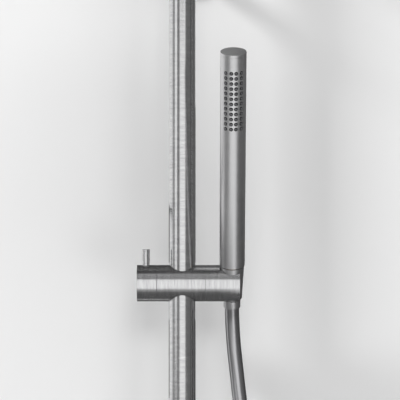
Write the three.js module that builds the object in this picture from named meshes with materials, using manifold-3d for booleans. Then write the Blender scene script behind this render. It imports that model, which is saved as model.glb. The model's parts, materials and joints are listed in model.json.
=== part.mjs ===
// A wall-mounted rainfall shower column: thermostatic bar mixer, riser, overhead arm with a tilting rain head,
// and a baton handset on a sliding, turning, tilting holder. Millimetres. +X is to the right of someone who
// faces the wall, +Y goes into the wall and +Z up. The origin is the middle of the upper bracket's back face.
import * as THREE from 'three';
import { mergeVertices } from 'three/addons/utils/BufferGeometryUtils.js';
import Module from 'manifold-3d';

const wasm = await Module();
wasm.setup();

// ---- Driving dimensions ------------------------------------------------------------------------------------

const GAP = 0.3; // left between two faces that touch on the real product
const OVERCUT = 2; // how far a cutting shape runs past the face that it opens
const SIDES = 20; // facets of a large turned piece
const MID_SIDES = 18; // facets of a piece about the size of a coin
const FEW_SIDES = 12; // facets of a pin, screw or seal
const BAR_SIDES = 28; // facets of the slider, its knob and its holder
const DISC_SIDES = 36; // facets of the rain head
const HEX = 6;
const JET_SIDES = 4; // facets of a spray nozzle
const BEND_STEPS = 6; // rings in a quarter bend of the arm
const EDGE = 0.5; // chamfer on the turned pieces' rims
const ARC_STEPS = 3; // chords in a short arc of a turned outline
const BALL_STEPS = 7; // chords in the outline of the arm's ball
const MERGE_DISTANCE = 1e-4; // corners closer than this are one

// The column, measured along the wall
const RISER_RADIUS = 12.5;
const RISER_WALL = 1.5;
const RISER_FROM_WALL = 65;
const RISER_TOP_Z = 40;
const SLIDER_Z = -310;
const MIXER_Z = -1050;

// Upper wall bracket
const PLATE_RADIUS = 21;
const PLATE_THICKNESS = 4.5;
const PLATE_BOSS_RADIUS = 7;
const PLATE_BOSS_LENGTH = 11.5;
const WALL_SCREW_SPACING = 28;
const WALL_SCREW_SHANK = 2.2;
const WALL_SCREW_HEAD = 4.2;
const WALL_SCREW_HEAD_DEPTH = 2.2;
const WALL_SCREW_LENGTH = 38;
const FLANGE_RADIUS = 27;
const FLANGE_DEPTH = 9;
const FLANGE_WALL = 1.4;
const POST_RADIUS = 9;
const POST_STUD_RADIUS = 4;
const POST_STUD_LENGTH = 4.5;
const GRUB_RADIUS = 1.8;
const GRUB_FROM_FLANGE = 3;
const CLAMP_WALL = 5.2;
const CLAMP_HALF_HEIGHT = 12;
const CLAMP_BOSS_LENGTH = 3.5;

// Overhead arm
const ARM_RADIUS = 11;
const ARM_WALL = 1.4;
const ARM_Z = 110;
const ARM_REACH = 400;
const ARM_FOOT_BEND = 45;
const ARM_TIP_BEND = 35;
const ARM_TIP_DROP = 15;
const ARM_NUT_WALL = 3.2;
const ARM_NUT_BELOW = 13;
const ARM_NUT_ABOVE = 12;
const ARM_COLLAR_HEIGHT = 11;
const ARM_SEAL_SECTION = 1.2;
const ARM_SEAL_HEIGHT = 2;

// Rain head, measured from the middle of its ball
const BALL_RADIUS = 10;
const BALL_NECK_RADIUS = 6;
const BALL_NECK_TOP = 13;
const BALL_BORE = 4;
const BALL_SOCKET_WALL = 3.2;
const BALL_SOCKET_DEPTH = 14;
const BALL_SOCKET_FLOOR = 3.3;
const SEAT_WALL = 1.75;
const SEAT_FROM = -58;
const SEAT_TO = -22;
const BALL_CLEARANCE = 0.35;
const COLLAR_WALL = 3.9;
const COLLAR_TOP = 6;
const COLLAR_LIP = 1; // the lip's lower edge, above the ball's middle
const COLLAR_LENGTH = 24.7;
const HUB_RECESS_RADIUS = 8;
const HEAD_RADIUS = 125;
const HEAD_SHELL = 2;
const HEAD_RISE = 2.6; // how much higher the shell's middle stands than its rim
const HEAD_RIM_BEVEL = 2;
const HEAD_RIM_DROP = 1.5;
const HEAD_CROWN_MARGIN = 2; // flat left on the shell round the collar
const HEAD_CHAMBER = 1.8;
const MAT_THICKNESS = 1.5;
const FACEPLATE_THICKNESS = 1.7;
const RAIN_NOZZLE_RADIUS = 1.9;
const RAIN_NOZZLE_PROUD = 1.4;
const RAIN_NOZZLE_RINGS = 4;
const RAIN_NOZZLE_PITCH = 25.5;

// Mixer, measured from the middle of its bar
const BAR_RADIUS = 23;
const BAR_HALF_LENGTH = 95;
const BAR_BORE = 15;
const HANDLE_LENGTH = 50.7;
const HANDLE_WALL = 7;
const HANDLE_CAVITY = 18.7;
const STOP_RING_THICKNESS = 3.7;
const SPINDLE_RADIUS = 4.5;
const SPINDLE_LENGTH = 34;
const CARTRIDGE_LENGTH = 62;
const CARTRIDGE_INSET = 1;
const HANDLE_PIN_FROM_END = 16;
const BUTTON_RADIUS = 4;
const BUTTON_HEIGHT = 7.1;
const BUTTON_PROUD = 1.6;
const BUTTON_FROM_BAR = 13.5;
const RISER_BOSS_RADIUS = 13;
const RISER_BOSS_HEIGHT = 11;
const RISER_BOSS_BORE = 9;
const RISER_NUT_WALL = 3.7;
const RISER_NUT_HEIGHT = 26;
const RISER_NUT_START = 1;
const WASHER_THICKNESS = 2;
const OUTLET_X = -45;
const OUTLET_BOSS_RADIUS = 14.5;
const OUTLET_BOSS_DROP = 2.5;
const OUTLET_SHANK_RADIUS = 8.7;
const OUTLET_SHANK_LENGTH = 7;
const OUTLET_THREAD_RADIUS = 10.2;
const OUTLET_FLANGE = 2.7;
const OUTLET_THREAD_LENGTH = 11.5;
const OUTLET_BORE = 6.3;
const INLET_SPACING = 150;
const INLET_BORE = 6.5;
const SPIGOT_RADIUS = 10;
const SPIGOT_FLANGE_RADIUS = 12;
const SPIGOT_LENGTH = 9;
const SPIGOT_FLANGE = 3;
const UNION_THREAD_RADIUS = 12.6;
const UNION_THREAD_LENGTH = 15.4;
const UNION_NUT_WALL = 4.2;
const UNION_NUT_LENGTH = 21;
const UNION_NUT_START = 2;
const UNION_NUT_LIP = 3.7;
const UNION_OFFSET = 8;
const UNION_WEB_RADIUS = 14.6;
const UNION_WEB_THICKNESS = 4;
const UNION_OVERLAP = 1; // how far the union's two threads run into its web
const WALL_THREAD_RADIUS = 10.2;
const WALL_THREAD_LENGTH = 15;
const ROSE_RADIUS = 33;
const ROSE_DEPTH = 18;
const ROSE_WALL = 1.4;
const ROSE_RIM = 4;
const ROSE_FACE = 9; // flat round the union, before the rose slopes back

// Slider on the riser
const LINER_WALL = 1.5;
const LINER_COVER = 0.9; // metal left outside the corners of the liner's groove
const SLIDER_WALL = 2.4;
const SLIDER_KNOB_SIDE = 9.3;
const SLIDER_HOLDER_SIDE = 7;
const KNOB_LENGTH = 17.9;
const KNOB_BORE_DEPTH = 14.1;
const CLAMP_SPINDLE_RADIUS = 3;
const SHOE_RADIUS = 4;
const SHOE_LENGTH = 3.4;
const SHOE_FREE = 0.4; // what the shoe draws back when the knob is loosened
const KNOB_PIN_FROM_BODY = 9.7;
const PIN_RADIUS = 3.6;
const PIN_PROUD = 14.6;
const PIN_SOCKET_Z = 8;
const HOLDER_LENGTH = 31.8;
const HOLDER_SEAT_X = 24.6;
const HOLDER_SLOT_HALF_WIDTH = 7.4;
const HOLDER_WASHER_RADIUS = 12;
const HOLDER_WASHER_THICKNESS = 1.2;
const PIVOT_SCREW_RADIUS = 2.5;
const PIVOT_HEAD_RADIUS = 4.6;
const PIVOT_HEAD_LENGTH = 3.3;
const PIVOT_HEAD_FROM_FACE = 9.4;
const HANDSET_LEAN = 25; // degrees off upright, top away from the wall

// Handset and the upper end of its hose, measured along the handset from the slider's axis
const HANDSET_RADIUS = 11.75;
const HANDSET_WALL = 1.75;
const HANDSET_LENGTH = 209;
const HANDSET_ABOVE_HOLDER = 2.3;
const HANDSET_CAP = 2.5;
const HANDSET_THREAD_RADIUS = 8.2;
const HANDSET_THREAD_LENGTH = 15.1;
const HANDSET_INSERT = 12;
const HANDSET_BORE = 5;
const NUT_LENGTH = 35;
const NUT_TOP_RADIUS = 11.1;
const NUT_FOOT_RADIUS = 9.3;
const NUT_CHAMFER = 1.6;
const NUT_SWIVEL_RADIUS = 6;
const FERRULE_RADIUS = 7.9;
const FERRULE_LENGTH = 7.7;
const FERRULE_BORE = 3.5;
const SPRAY_ROWS = 12;
const SPRAY_ROW_PITCH = 4.84;
const SPRAY_TOP_FROM_END = 17.1;
const SPRAY_COLUMN_ANGLES = [-36.5, -9.5, 12, 38]; // degrees from straight ahead, towards +X
const SPRAY_NUB_RADIUS = 1;
const SPRAY_NUB_PROUD = 0.35;
const SPRAY_HOLE_RADIUS = 1.7;
const SPRAY_STRIP_WALL = 1.2;
const SPRAY_STRIP_MARGIN = 6;
const SPRAY_STRIP_HALF_ANGLE = 62;

// Hose nut and ferrule at the mixer
const LOWER_NUT_WALL = 2.3;
const LOWER_NUT_LENGTH = 16;
const LOWER_NUT_START = 1.3;
const LOWER_FERRULE_LENGTH = 10.7;

// Hose
const HOSE_RADIUS = 6.7;
const HOSE_SIDES = 8;
const HOSE_STEPS = 42;
const HOSE_POINTS = [
  [46.5, -54.73, -332.02],
  [46.8, -49.9, -342.6],
  [48.2, -44.6, -366],
  [50.9, -43.4, -391.3],
  [53.8, -46, -417.4],
  [59.3, -54, -460],
  [67.5, -68, -520],
  [78, -85, -600],
  [87, -98, -690],
  [93.5, -106, -790],
  [97.5, -110, -890],
  [99.5, -111, -990],
  [100, -110, -1080],
  [100.5, -108, -1170],
  [100.5, -106, -1245],
  [98.5, -103.5, -1309],
  [91.5, -101, -1342],
  [74.5, -97.5, -1369],
  [48.5, -93.5, -1386],
  [17.5, -89, -1392],
  [-13.5, -84.5, -1386],
  [-40, -80.5, -1368],
  [-58, -76.5, -1340],
  [-66, -73, -1304],
  [-67, -69.5, -1255],
  [-62, -67, -1206],
  [-53.5, -65.5, -1163],
  [-47.2, -65, -1134],
  [-45.1, -65, -1117],
  [-45, -65, -1107.1],
];

// ---- Finishes ----------------------------------------------------------------------------------------------

const BRUSHED = { color: 0x8e8f90, metalness: 1, roughness: 0.34 };
const BRASS = { color: 0xb08d4c, metalness: 1, roughness: 0.38 };
const STEEL_SCREW = { color: 0x9a9b9c, metalness: 1, roughness: 0.3 };
const ACETAL = { color: 0xd8d8d4, metalness: 0, roughness: 0.5 };
const DARK_PLASTIC = { color: 0x2c2d2f, metalness: 0, roughness: 0.5 };
const SILICONE = { color: 0x9c9da0, metalness: 0, roughness: 0.65 };
const RUBBER = { color: 0x1d1d1e, metalness: 0, roughness: 0.8 };
const HOSE_SLEEVE = { color: 0x909192, metalness: 0.9, roughness: 0.28 };

// ---- Shapes ------------------------------------------------------------------------------------------------

const radians = THREE.MathUtils.degToRad;

// Six times the volume that the triangles enclose: negative when they face inwards.
function signedVolume(points, corners) {
  const at = (i) => new THREE.Vector3().fromArray(points, 3 * corners[i]);
  let total = 0;
  for (let i = 0; i < corners.length; i += 3) total += at(i).dot(at(i + 1).cross(at(i + 2)));
  return total;
}

// A closed three.js shape as a solid that can be joined and cut.
function solidOf(geometry) {
  const bare = geometry.clone();
  bare.deleteAttribute('normal');
  bare.deleteAttribute('uv');
  const merged = mergeVertices(bare, MERGE_DISTANCE);
  const points = merged.attributes.position.array;
  const all = merged.index.array;
  const corners = [];
  for (let i = 0; i < all.length; i += 3) {
    const [a, b, c] = all.slice(i, i + 3);
    if (a !== b && b !== c && c !== a) corners.push(a, b, c);
  }
  if (signedVolume(points, corners) < 0) corners.reverse();
  return new wasm.Manifold(new wasm.Mesh({
    numProp: 3,
    vertProperties: new Float32Array(points),
    triVerts: new Uint32Array(corners),
  }));
}

function shapeOf(solid) {
  const mesh = solid.getMesh();
  const geometry = new THREE.BufferGeometry();
  geometry.setAttribute('position', new THREE.BufferAttribute(new Float32Array(mesh.vertProperties), 3));
  geometry.setIndex(new THREE.BufferAttribute(new Uint32Array(mesh.triVerts), 1));
  return geometry;
}

function join(first, ...others) {
  return shapeOf(others.reduce((sum, next) => sum.add(solidOf(next)), solidOf(first)));
}

function cut(first, ...tools) {
  return shapeOf(tools.reduce((rest, tool) => rest.subtract(solidOf(tool)), solidOf(first)));
}

function meet(first, second) {
  return shapeOf(solidOf(first).intersect(solidOf(second)));
}

// A piece turned on a lathe: [radius, height] points that begin and end on the axis, or close on themselves.
function turned(profile, axis = 'z', sides = SIDES) {
  const geometry = new THREE.LatheGeometry(profile.map(([r, h]) => new THREE.Vector2(r, h)), sides);
  if (axis === 'z') geometry.rotateX(Math.PI / 2);
  if (axis === 'x') geometry.rotateZ(-Math.PI / 2);
  return shapeOf(solidOf(geometry));
}

function rod(radius, from, to, axis = 'z', sides = SIDES, edge = 0) {
  const [low, high] = [Math.min(from, to), Math.max(from, to)];
  const profile = [[0, low], [radius - edge, low], [radius, low + edge]];
  profile.push([radius, high - edge], [radius - edge, high], [0, high]);
  return turned(profile, axis, sides);
}

function ring(outer, inner, from, to, axis = 'z', sides = SIDES, edge = 0) {
  const [low, high] = [Math.min(from, to), Math.max(from, to)];
  const profile = [[inner, low], [outer - edge, low], [outer, low + edge]];
  profile.push([outer, high - edge], [outer - edge, high], [inner, high], [inner, low]);
  return turned(profile, axis, sides);
}

function box(low, high) {
  const size = high.map((h, i) => h - low[i]);
  const geometry = new THREE.BoxGeometry(...size);
  return geometry.translate(...low.map((l, i) => l + size[i] / 2));
}

// Profile points on a circle about the axis's origin, in degrees above the level through it.
function arc(radius, from, to, steps) {
  return Array.from({ length: steps + 1 }, (_, i) => {
    const angle = radians(from + ((to - from) * i) / steps);
    return [radius * Math.cos(angle), radius * Math.sin(angle)];
  });
}

// Where a circle about the origin has a given distance from the axis, and where it has a given height.
const angleAtDistance = (radius, distance) => THREE.MathUtils.radToDeg(Math.acos(distance / radius));
const angleAtHeight = (radius, height) => THREE.MathUtils.radToDeg(Math.asin(height / radius));

function circle(radius, sides) {
  const points = Array.from({ length: sides }, (_, i) => {
    const angle = (2 * Math.PI * i) / sides;
    return new THREE.Vector2(radius * Math.cos(angle), radius * Math.sin(angle));
  });
  return points;
}

// A path whose rings stand only where they are listed, so straight runs cost no triangles.
class RingPath extends THREE.Curve {
  constructor(rings) {
    super();
    this.rings = rings;
  }

  nearest(u) {
    return this.rings[Math.round(u * (this.rings.length - 1))];
  }

  getPoint(u) {
    return this.nearest(u).point.clone();
  }

  getPointAt(u) {
    return this.getPoint(u);
  }

  getTangent(u) {
    return this.nearest(u).tangent.clone();
  }

  getTangentAt(u) {
    return this.getTangent(u);
  }
}

function piece(group, name, geometry, finish) {
  geometry.computeVertexNormals();
  const mesh = new THREE.Mesh(geometry, new THREE.MeshStandardMaterial(finish));
  mesh.name = name;
  group.add(mesh);
}

function groupAt(x, y, z) {
  const group = new THREE.Group();
  group.position.set(x, y, z);
  return group;
}

// ---- Sizes that follow from the driving ones ---------------------------------------------------------------

const RISER_FIT = RISER_RADIUS + GAP;
const RISER_BORE = RISER_RADIUS - RISER_WALL;
const SLIDER_BORE = RISER_FIT + LINER_WALL + GAP;
const SLIDER_RADIUS = SLIDER_BORE + SLIDER_WALL;
const SLIDER_LEFT = -(SLIDER_BORE + SLIDER_KNOB_SIDE);
const SLIDER_RIGHT = SLIDER_BORE + SLIDER_HOLDER_SIDE;
const HOLDER_LEFT = SLIDER_RIGHT + GAP;
const HANDSET_X = HOLDER_LEFT + HOLDER_SEAT_X;
const HANDSET_START = SLIDER_RADIUS + HANDSET_ABOVE_HOLDER;
const HANDSET_END = HANDSET_START + HANDSET_LENGTH;
const NUT_TOP = HANDSET_START - GAP;
const NUT_FOOT = NUT_TOP - NUT_LENGTH;
const RISER_SEAT_Z = BAR_RADIUS + RISER_BOSS_HEIGHT; // top of the mixer's boss, from the bar's axis
const RISER_FOOT_Z = RISER_SEAT_Z + GAP + WASHER_THICKNESS + GAP;
const ARM_FOOT_Z = RISER_TOP_Z + 2 * GAP;
const ARM_FIT = ARM_RADIUS + GAP;
const ARM_END_Z = ARM_Z - ARM_TIP_BEND - ARM_TIP_DROP;
const BALL_SOCKET_TOP = BALL_NECK_TOP + BALL_SOCKET_FLOOR + BALL_SOCKET_DEPTH;
const BALL_Z = ARM_END_Z - (BALL_NECK_TOP + BALL_SOCKET_FLOOR + GAP);

// ---- Upper wall bracket ------------------------------------------------------------------------------------

function wallScrew(group, name, z) {
  const head = -PLATE_THICKNESS + GAP;
  const neck = head + WALL_SCREW_HEAD_DEPTH;
  const tip = head + WALL_SCREW_LENGTH;
  const profile = [[0, head], [WALL_SCREW_HEAD, head], [WALL_SCREW_SHANK, neck]];
  profile.push([WALL_SCREW_SHANK, tip - 2 * WALL_SCREW_SHANK], [0, tip]);
  piece(group, name, turned(profile, 'y', FEW_SIDES).translate(0, 0, z), STEEL_SCREW);
}

function wallBracket() {
  const group = groupAt(0, 0, 0);
  const bossEnd = -(PLATE_THICKNESS + PLATE_BOSS_LENGTH);
  const screwHole = (z) => {
    const top = WALL_SCREW_HEAD + GAP;
    const bottom = WALL_SCREW_SHANK + GAP;
    const neck = -PLATE_THICKNESS + WALL_SCREW_HEAD_DEPTH + GAP;
    const mouth = -PLATE_THICKNESS - OVERCUT;
    const profile = [[0, mouth], [top, mouth], [top, -PLATE_THICKNESS], [bottom, neck]];
    profile.push([bottom, OVERCUT], [0, OVERCUT]);
    return turned(profile, 'y', FEW_SIDES).translate(0, 0, z);
  };
  const plate = join(
    rod(PLATE_RADIUS, -PLATE_THICKNESS, 0, 'y'),
    rod(PLATE_BOSS_RADIUS, bossEnd, -PLATE_THICKNESS / 2, 'y', FEW_SIDES),
  );
  const spots = [WALL_SCREW_SPACING / 2, -WALL_SCREW_SPACING / 2];
  piece(group, 'bracket_wall_plate', cut(plate, ...spots.map(screwHole)), STEEL_SCREW);
  wallScrew(group, 'bracket_screw_upper', spots[0]);
  wallScrew(group, 'bracket_screw_lower', spots[1]);

  const hole = POST_RADIUS + GAP;
  const inner = FLANGE_RADIUS - FLANGE_WALL;
  const flange = [[hole, -FLANGE_DEPTH], [FLANGE_RADIUS - 2 * EDGE, -FLANGE_DEPTH]];
  flange.push([FLANGE_RADIUS, -FLANGE_DEPTH + 2 * EDGE], [FLANGE_RADIUS, -GAP], [inner, -GAP]);
  flange.push([inner, -FLANGE_DEPTH + FLANGE_WALL], [hole, -FLANGE_DEPTH + FLANGE_WALL]);
  flange.push([hole, -FLANGE_DEPTH]);
  piece(group, 'bracket_flange', turned(flange, 'y'), BRUSHED);

  const ringRadius = RISER_FIT + CLAMP_WALL;
  const bossFace = -RISER_FROM_WALL + ringRadius + CLAMP_BOSS_LENGTH;
  const postEnd = bossFace + GAP;
  const grubY = -FLANGE_DEPTH - GRUB_FROM_FLANGE;
  const post = cut(
    join(
      rod(POST_RADIUS, postEnd, -PLATE_THICKNESS - GAP, 'y'),
      rod(POST_STUD_RADIUS, postEnd - POST_STUD_LENGTH, postEnd + OVERCUT, 'y', FEW_SIDES),
    ),
    rod(PLATE_BOSS_RADIUS + GAP, bossEnd - GAP, 0, 'y', FEW_SIDES),
    rod(GRUB_RADIUS + GAP, -POST_RADIUS - OVERCUT, 0, 'z', FEW_SIDES).translate(0, grubY, 0),
  );
  piece(group, 'bracket_post', post, BRUSHED);
  const grub = rod(GRUB_RADIUS, -POST_RADIUS + GAP, -PLATE_BOSS_RADIUS - GAP, 'z', FEW_SIDES);
  piece(group, 'bracket_grub_screw', grub.translate(0, grubY, 0), STEEL_SCREW);

  const band = rod(ringRadius, -CLAMP_HALF_HEIGHT, CLAMP_HALF_HEIGHT, 'z', SIDES, 2 * EDGE);
  const riserHole = rod(RISER_FIT, -CLAMP_HALF_HEIGHT - OVERCUT, CLAMP_HALF_HEIGHT + OVERCUT);
  const clamp = join(
    band.translate(0, -RISER_FROM_WALL, 0),
    rod(POST_RADIUS, -RISER_FROM_WALL, bossFace, 'y'),
  );
  const screwHoleX = rod(GRUB_RADIUS + GAP, RISER_RADIUS, ringRadius + OVERCUT, 'x', FEW_SIDES);
  const clampCut = cut(
    clamp,
    riserHole.translate(0, -RISER_FROM_WALL, 0),
    rod(POST_STUD_RADIUS + GAP, postEnd - POST_STUD_LENGTH - GAP, bossFace + OVERCUT, 'y', FEW_SIDES),
    screwHoleX.translate(0, -RISER_FROM_WALL, 0),
  );
  piece(group, 'bracket_clamp', clampCut, BRUSHED);
  const clampScrew = rod(GRUB_RADIUS, RISER_FIT, ringRadius - GAP, 'x', FEW_SIDES);
  piece(group, 'bracket_clamp_screw', clampScrew.translate(0, -RISER_FROM_WALL, 0), STEEL_SCREW);
  return group;
}

// ---- Riser and overhead arm --------------------------------------------------------------------------------

function riser() {
  const group = groupAt(0, -RISER_FROM_WALL, 0);
  piece(group, 'riser_tube', ring(RISER_RADIUS, RISER_BORE, MIXER_Z + RISER_FOOT_Z, RISER_TOP_Z), BRUSHED);

  const outer = RISER_FIT + ARM_NUT_WALL;
  const low = RISER_TOP_Z - ARM_NUT_BELOW;
  const high = RISER_TOP_Z + ARM_NUT_ABOVE;
  const shoulder = RISER_TOP_Z + GAP;
  const grooveLow = (shoulder + high - ARM_SEAL_HEIGHT) / 2 - GAP;
  const grooveHigh = grooveLow + ARM_SEAL_HEIGHT + 2 * GAP;
  const grooveRadius = ARM_FIT + ARM_SEAL_SECTION + GAP;
  const profile = [[RISER_FIT, low], [outer - EDGE, low], [outer, low + EDGE], [outer, high - EDGE]];
  profile.push([outer - EDGE, high], [ARM_FIT, high], [ARM_FIT, grooveHigh], [grooveRadius, grooveHigh]);
  profile.push([grooveRadius, grooveLow], [ARM_FIT, grooveLow], [ARM_FIT, shoulder]);
  profile.push([RISER_FIT, shoulder], [RISER_FIT, low]);
  piece(group, 'riser_top_nut', turned(profile), BRUSHED);
  const seal = ring(ARM_FIT + ARM_SEAL_SECTION, ARM_FIT, grooveLow + GAP, grooveHigh - GAP);
  piece(group, 'arm_seal', seal, RUBBER);

  const collarLow = high + GAP;
  const collar = ring(outer, ARM_FIT, collarLow, collarLow + ARM_COLLAR_HEIGHT, 'z', SIDES, EDGE);
  piece(group, 'arm_swivel_collar', collar, BRUSHED);
  return group;
}

function armRings() {
  const up = new THREE.Vector3(0, 0, 1);
  const out = new THREE.Vector3(0, -1, 0);
  const down = new THREE.Vector3(0, 0, -1);
  const rings = [{ point: new THREE.Vector3(0, 0, ARM_FOOT_Z), tangent: up }];
  const bend = (centre, radius, before, after) => {
    for (let i = 0; i <= BEND_STEPS; i += 1) {
      const angle = (Math.PI / 2) * (i / BEND_STEPS);
      const tangent = before.clone().multiplyScalar(Math.cos(angle)).addScaledVector(after, Math.sin(angle));
      const arm = after.clone().multiplyScalar(-Math.cos(angle)).addScaledVector(before, Math.sin(angle));
      rings.push({ point: centre.clone().addScaledVector(arm, radius), tangent });
    }
  };
  const footBend = new THREE.Vector3(0, -ARM_FOOT_BEND, ARM_Z - ARM_FOOT_BEND);
  const tipBend = new THREE.Vector3(0, -ARM_REACH + ARM_TIP_BEND, ARM_Z - ARM_TIP_BEND);
  bend(footBend, ARM_FOOT_BEND, up, out);
  bend(tipBend, ARM_TIP_BEND, out, down);
  rings.push({ point: new THREE.Vector3(0, -ARM_REACH, ARM_END_Z), tangent: down });
  return rings;
}

function overheadArm() {
  const group = groupAt(0, -RISER_FROM_WALL, 0);
  const section = new THREE.Shape(circle(ARM_RADIUS, SIDES));
  section.holes.push(new THREE.Path(circle(ARM_RADIUS - ARM_WALL, FEW_SIDES)));
  const rings = armRings();
  const options = { steps: rings.length - 1, extrudePath: new RingPath(rings), bevelEnabled: false };
  piece(group, 'shower_arm', shapeOf(solidOf(new THREE.ExtrudeGeometry(section, options))), BRUSHED);
  return group;
}

// ---- Rain head ---------------------------------------------------------------------------------------------

function rainNozzles() {
  const spots = [[0, 0]];
  for (let n = 1; n <= RAIN_NOZZLE_RINGS; n += 1) {
    for (let i = 0; i < HEX * n; i += 1) {
      const angle = (2 * Math.PI * i) / (HEX * n);
      spots.push([n * RAIN_NOZZLE_PITCH * Math.cos(angle), n * RAIN_NOZZLE_PITCH * Math.sin(angle)]);
    }
  }
  return spots;
}

function rainHead() {
  const group = groupAt(0, -RISER_FROM_WALL - ARM_REACH, BALL_Z);
  const socketOuter = ARM_FIT + BALL_SOCKET_WALL;
  const socketFloor = BALL_NECK_TOP + BALL_SOCKET_FLOOR;
  const ballFoot = -angleAtDistance(BALL_RADIUS, BALL_BORE);
  const ballNeck = angleAtDistance(BALL_RADIUS, BALL_NECK_RADIUS);
  const ball = arc(BALL_RADIUS, ballFoot, ballNeck, BALL_STEPS);
  ball.push([BALL_NECK_RADIUS, BALL_NECK_TOP], [socketOuter - EDGE, BALL_NECK_TOP]);
  ball.push([socketOuter, BALL_NECK_TOP + EDGE], [socketOuter, BALL_SOCKET_TOP - EDGE]);
  ball.push([socketOuter - EDGE, BALL_SOCKET_TOP], [ARM_FIT, BALL_SOCKET_TOP], [ARM_FIT, socketFloor]);
  ball.push([BALL_BORE, socketFloor], ball[0]);
  piece(group, 'arm_ball', turned(ball, 'z', MID_SIDES), BRUSHED);

  const seatInner = BALL_RADIUS + BALL_CLEARANCE;
  const seatOuter = seatInner + SEAT_WALL;
  const seat = [
    ...arc(seatInner, SEAT_FROM, SEAT_TO, ARC_STEPS),
    ...arc(seatOuter, SEAT_TO, SEAT_FROM, ARC_STEPS),
  ];
  piece(group, 'head_ball_seat', turned([...seat, seat[0]], 'z', MID_SIDES), ACETAL);

  const cavity = seatOuter + BALL_CLEARANCE;
  const collarOuter = cavity + GAP + COLLAR_WALL;
  const lip = seatInner;
  const collarBottom = COLLAR_TOP - COLLAR_LENGTH;
  const collar = arc(lip, angleAtHeight(lip, COLLAR_TOP), angleAtHeight(lip, COLLAR_LIP), ARC_STEPS);
  collar.push([cavity, COLLAR_LIP], [cavity, collarBottom], [collarOuter - EDGE, collarBottom]);
  collar.push([collarOuter, collarBottom + EDGE], [collarOuter, COLLAR_TOP - 2 * EDGE]);
  collar.push([collarOuter - 2 * EDGE, COLLAR_TOP], collar[0]);
  piece(group, 'head_collar_nut', turned(collar), BRUSHED);

  const hubRadius = cavity - GAP;
  const hubEdge = -angleAtDistance(cavity, HUB_RECESS_RADIUS);
  const hubTop = cavity * Math.sin(radians(hubEdge));
  const shellTop = collarBottom - GAP;
  const rimTop = shellTop - HEAD_RISE;
  const chamberTop = rimTop - HEAD_SHELL;
  const matTop = chamberTop - HEAD_CHAMBER;
  const matBottom = matTop - MAT_THICKNESS;
  const faceTop = matBottom - GAP;
  const faceBottom = faceTop - FACEPLATE_THICKNESS;
  const inner = HEAD_RADIUS - HEAD_SHELL;
  const shell = arc(cavity, -angleAtDistance(cavity, BALL_BORE), hubEdge, ARC_STEPS);
  shell.push([hubRadius, hubTop], [hubRadius, shellTop], [collarOuter + HEAD_CROWN_MARGIN, shellTop]);
  shell.push([HEAD_RADIUS - HEAD_RIM_BEVEL, rimTop], [HEAD_RADIUS, rimTop - HEAD_RIM_DROP]);
  shell.push([HEAD_RADIUS, faceBottom - GAP], [inner, faceBottom - GAP], [inner, chamberTop]);
  shell.push([collarOuter, shellTop - HEAD_SHELL]);
  shell.push([BALL_BORE, shellTop - HEAD_SHELL], shell[0]);
  piece(group, 'rain_head_body', turned(shell, 'z', DISC_SIDES), BRUSHED);

  const discRadius = inner - GAP;
  const spots = rainNozzles();
  const nubs = spots.map(([x, y]) => rod(RAIN_NOZZLE_RADIUS, matTop - MAT_THICKNESS / 2,
    faceBottom - RAIN_NOZZLE_PROUD, 'z', JET_SIDES).translate(x, y, 0));
  piece(group, 'rain_nozzle_mat', join(rod(discRadius, matBottom, matTop, 'z', DISC_SIDES), ...nubs), SILICONE);
  const holes = spots.map(([x, y]) => rod(RAIN_NOZZLE_RADIUS + GAP, faceBottom - OVERCUT,
    faceTop + OVERCUT, 'z', JET_SIDES).translate(x, y, 0));
  piece(group, 'rain_faceplate', cut(rod(discRadius, faceBottom, faceTop, 'z', DISC_SIDES), ...holes), BRUSHED);
  return group;
}

// ---- Mixer -------------------------------------------------------------------------------------------------

function mixerBody(group) {
  const outletFace = -BAR_RADIUS - OUTLET_BOSS_DROP;
  const spigotEnd = BAR_RADIUS + SPIGOT_LENGTH;
  const halfSpacing = INLET_SPACING / 2;
  const spigots = [-halfSpacing, halfSpacing].flatMap((x) => [
    rod(SPIGOT_RADIUS, BAR_BORE + GAP, spigotEnd, 'y', MID_SIDES).translate(x, 0, 0),
    rod(SPIGOT_FLANGE_RADIUS, spigotEnd - SPIGOT_FLANGE, spigotEnd, 'y', MID_SIDES).translate(x, 0, 0),
  ]);
  const whole = join(
    rod(BAR_RADIUS, -BAR_HALF_LENGTH, BAR_HALF_LENGTH, 'x', SIDES, EDGE),
    rod(RISER_BOSS_RADIUS, BAR_BORE + GAP, RISER_SEAT_Z, 'z', SIDES, EDGE),
    rod(OUTLET_BOSS_RADIUS, outletFace, -BAR_BORE - GAP, 'z', SIDES).translate(OUTLET_X, 0, 0),
    ...spigots,
  );
  const body = cut(
    whole,
    rod(BAR_BORE, -BAR_HALF_LENGTH - OVERCUT, BAR_HALF_LENGTH + OVERCUT, 'x', MID_SIDES),
    rod(RISER_BOSS_BORE, 0, RISER_SEAT_Z + OVERCUT, 'z', FEW_SIDES),
    rod(OUTLET_SHANK_RADIUS + GAP, outletFace - OVERCUT, 0, 'z', SIDES).translate(OUTLET_X, 0, 0),
    rod(INLET_BORE, 0, spigotEnd + OVERCUT, 'y', FEW_SIDES).translate(-halfSpacing, 0, 0),
    rod(INLET_BORE, 0, spigotEnd + OVERCUT, 'y', FEW_SIDES).translate(halfSpacing, 0, 0),
  );
  piece(group, 'mixer_body', body, BRUSHED);
}

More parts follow.
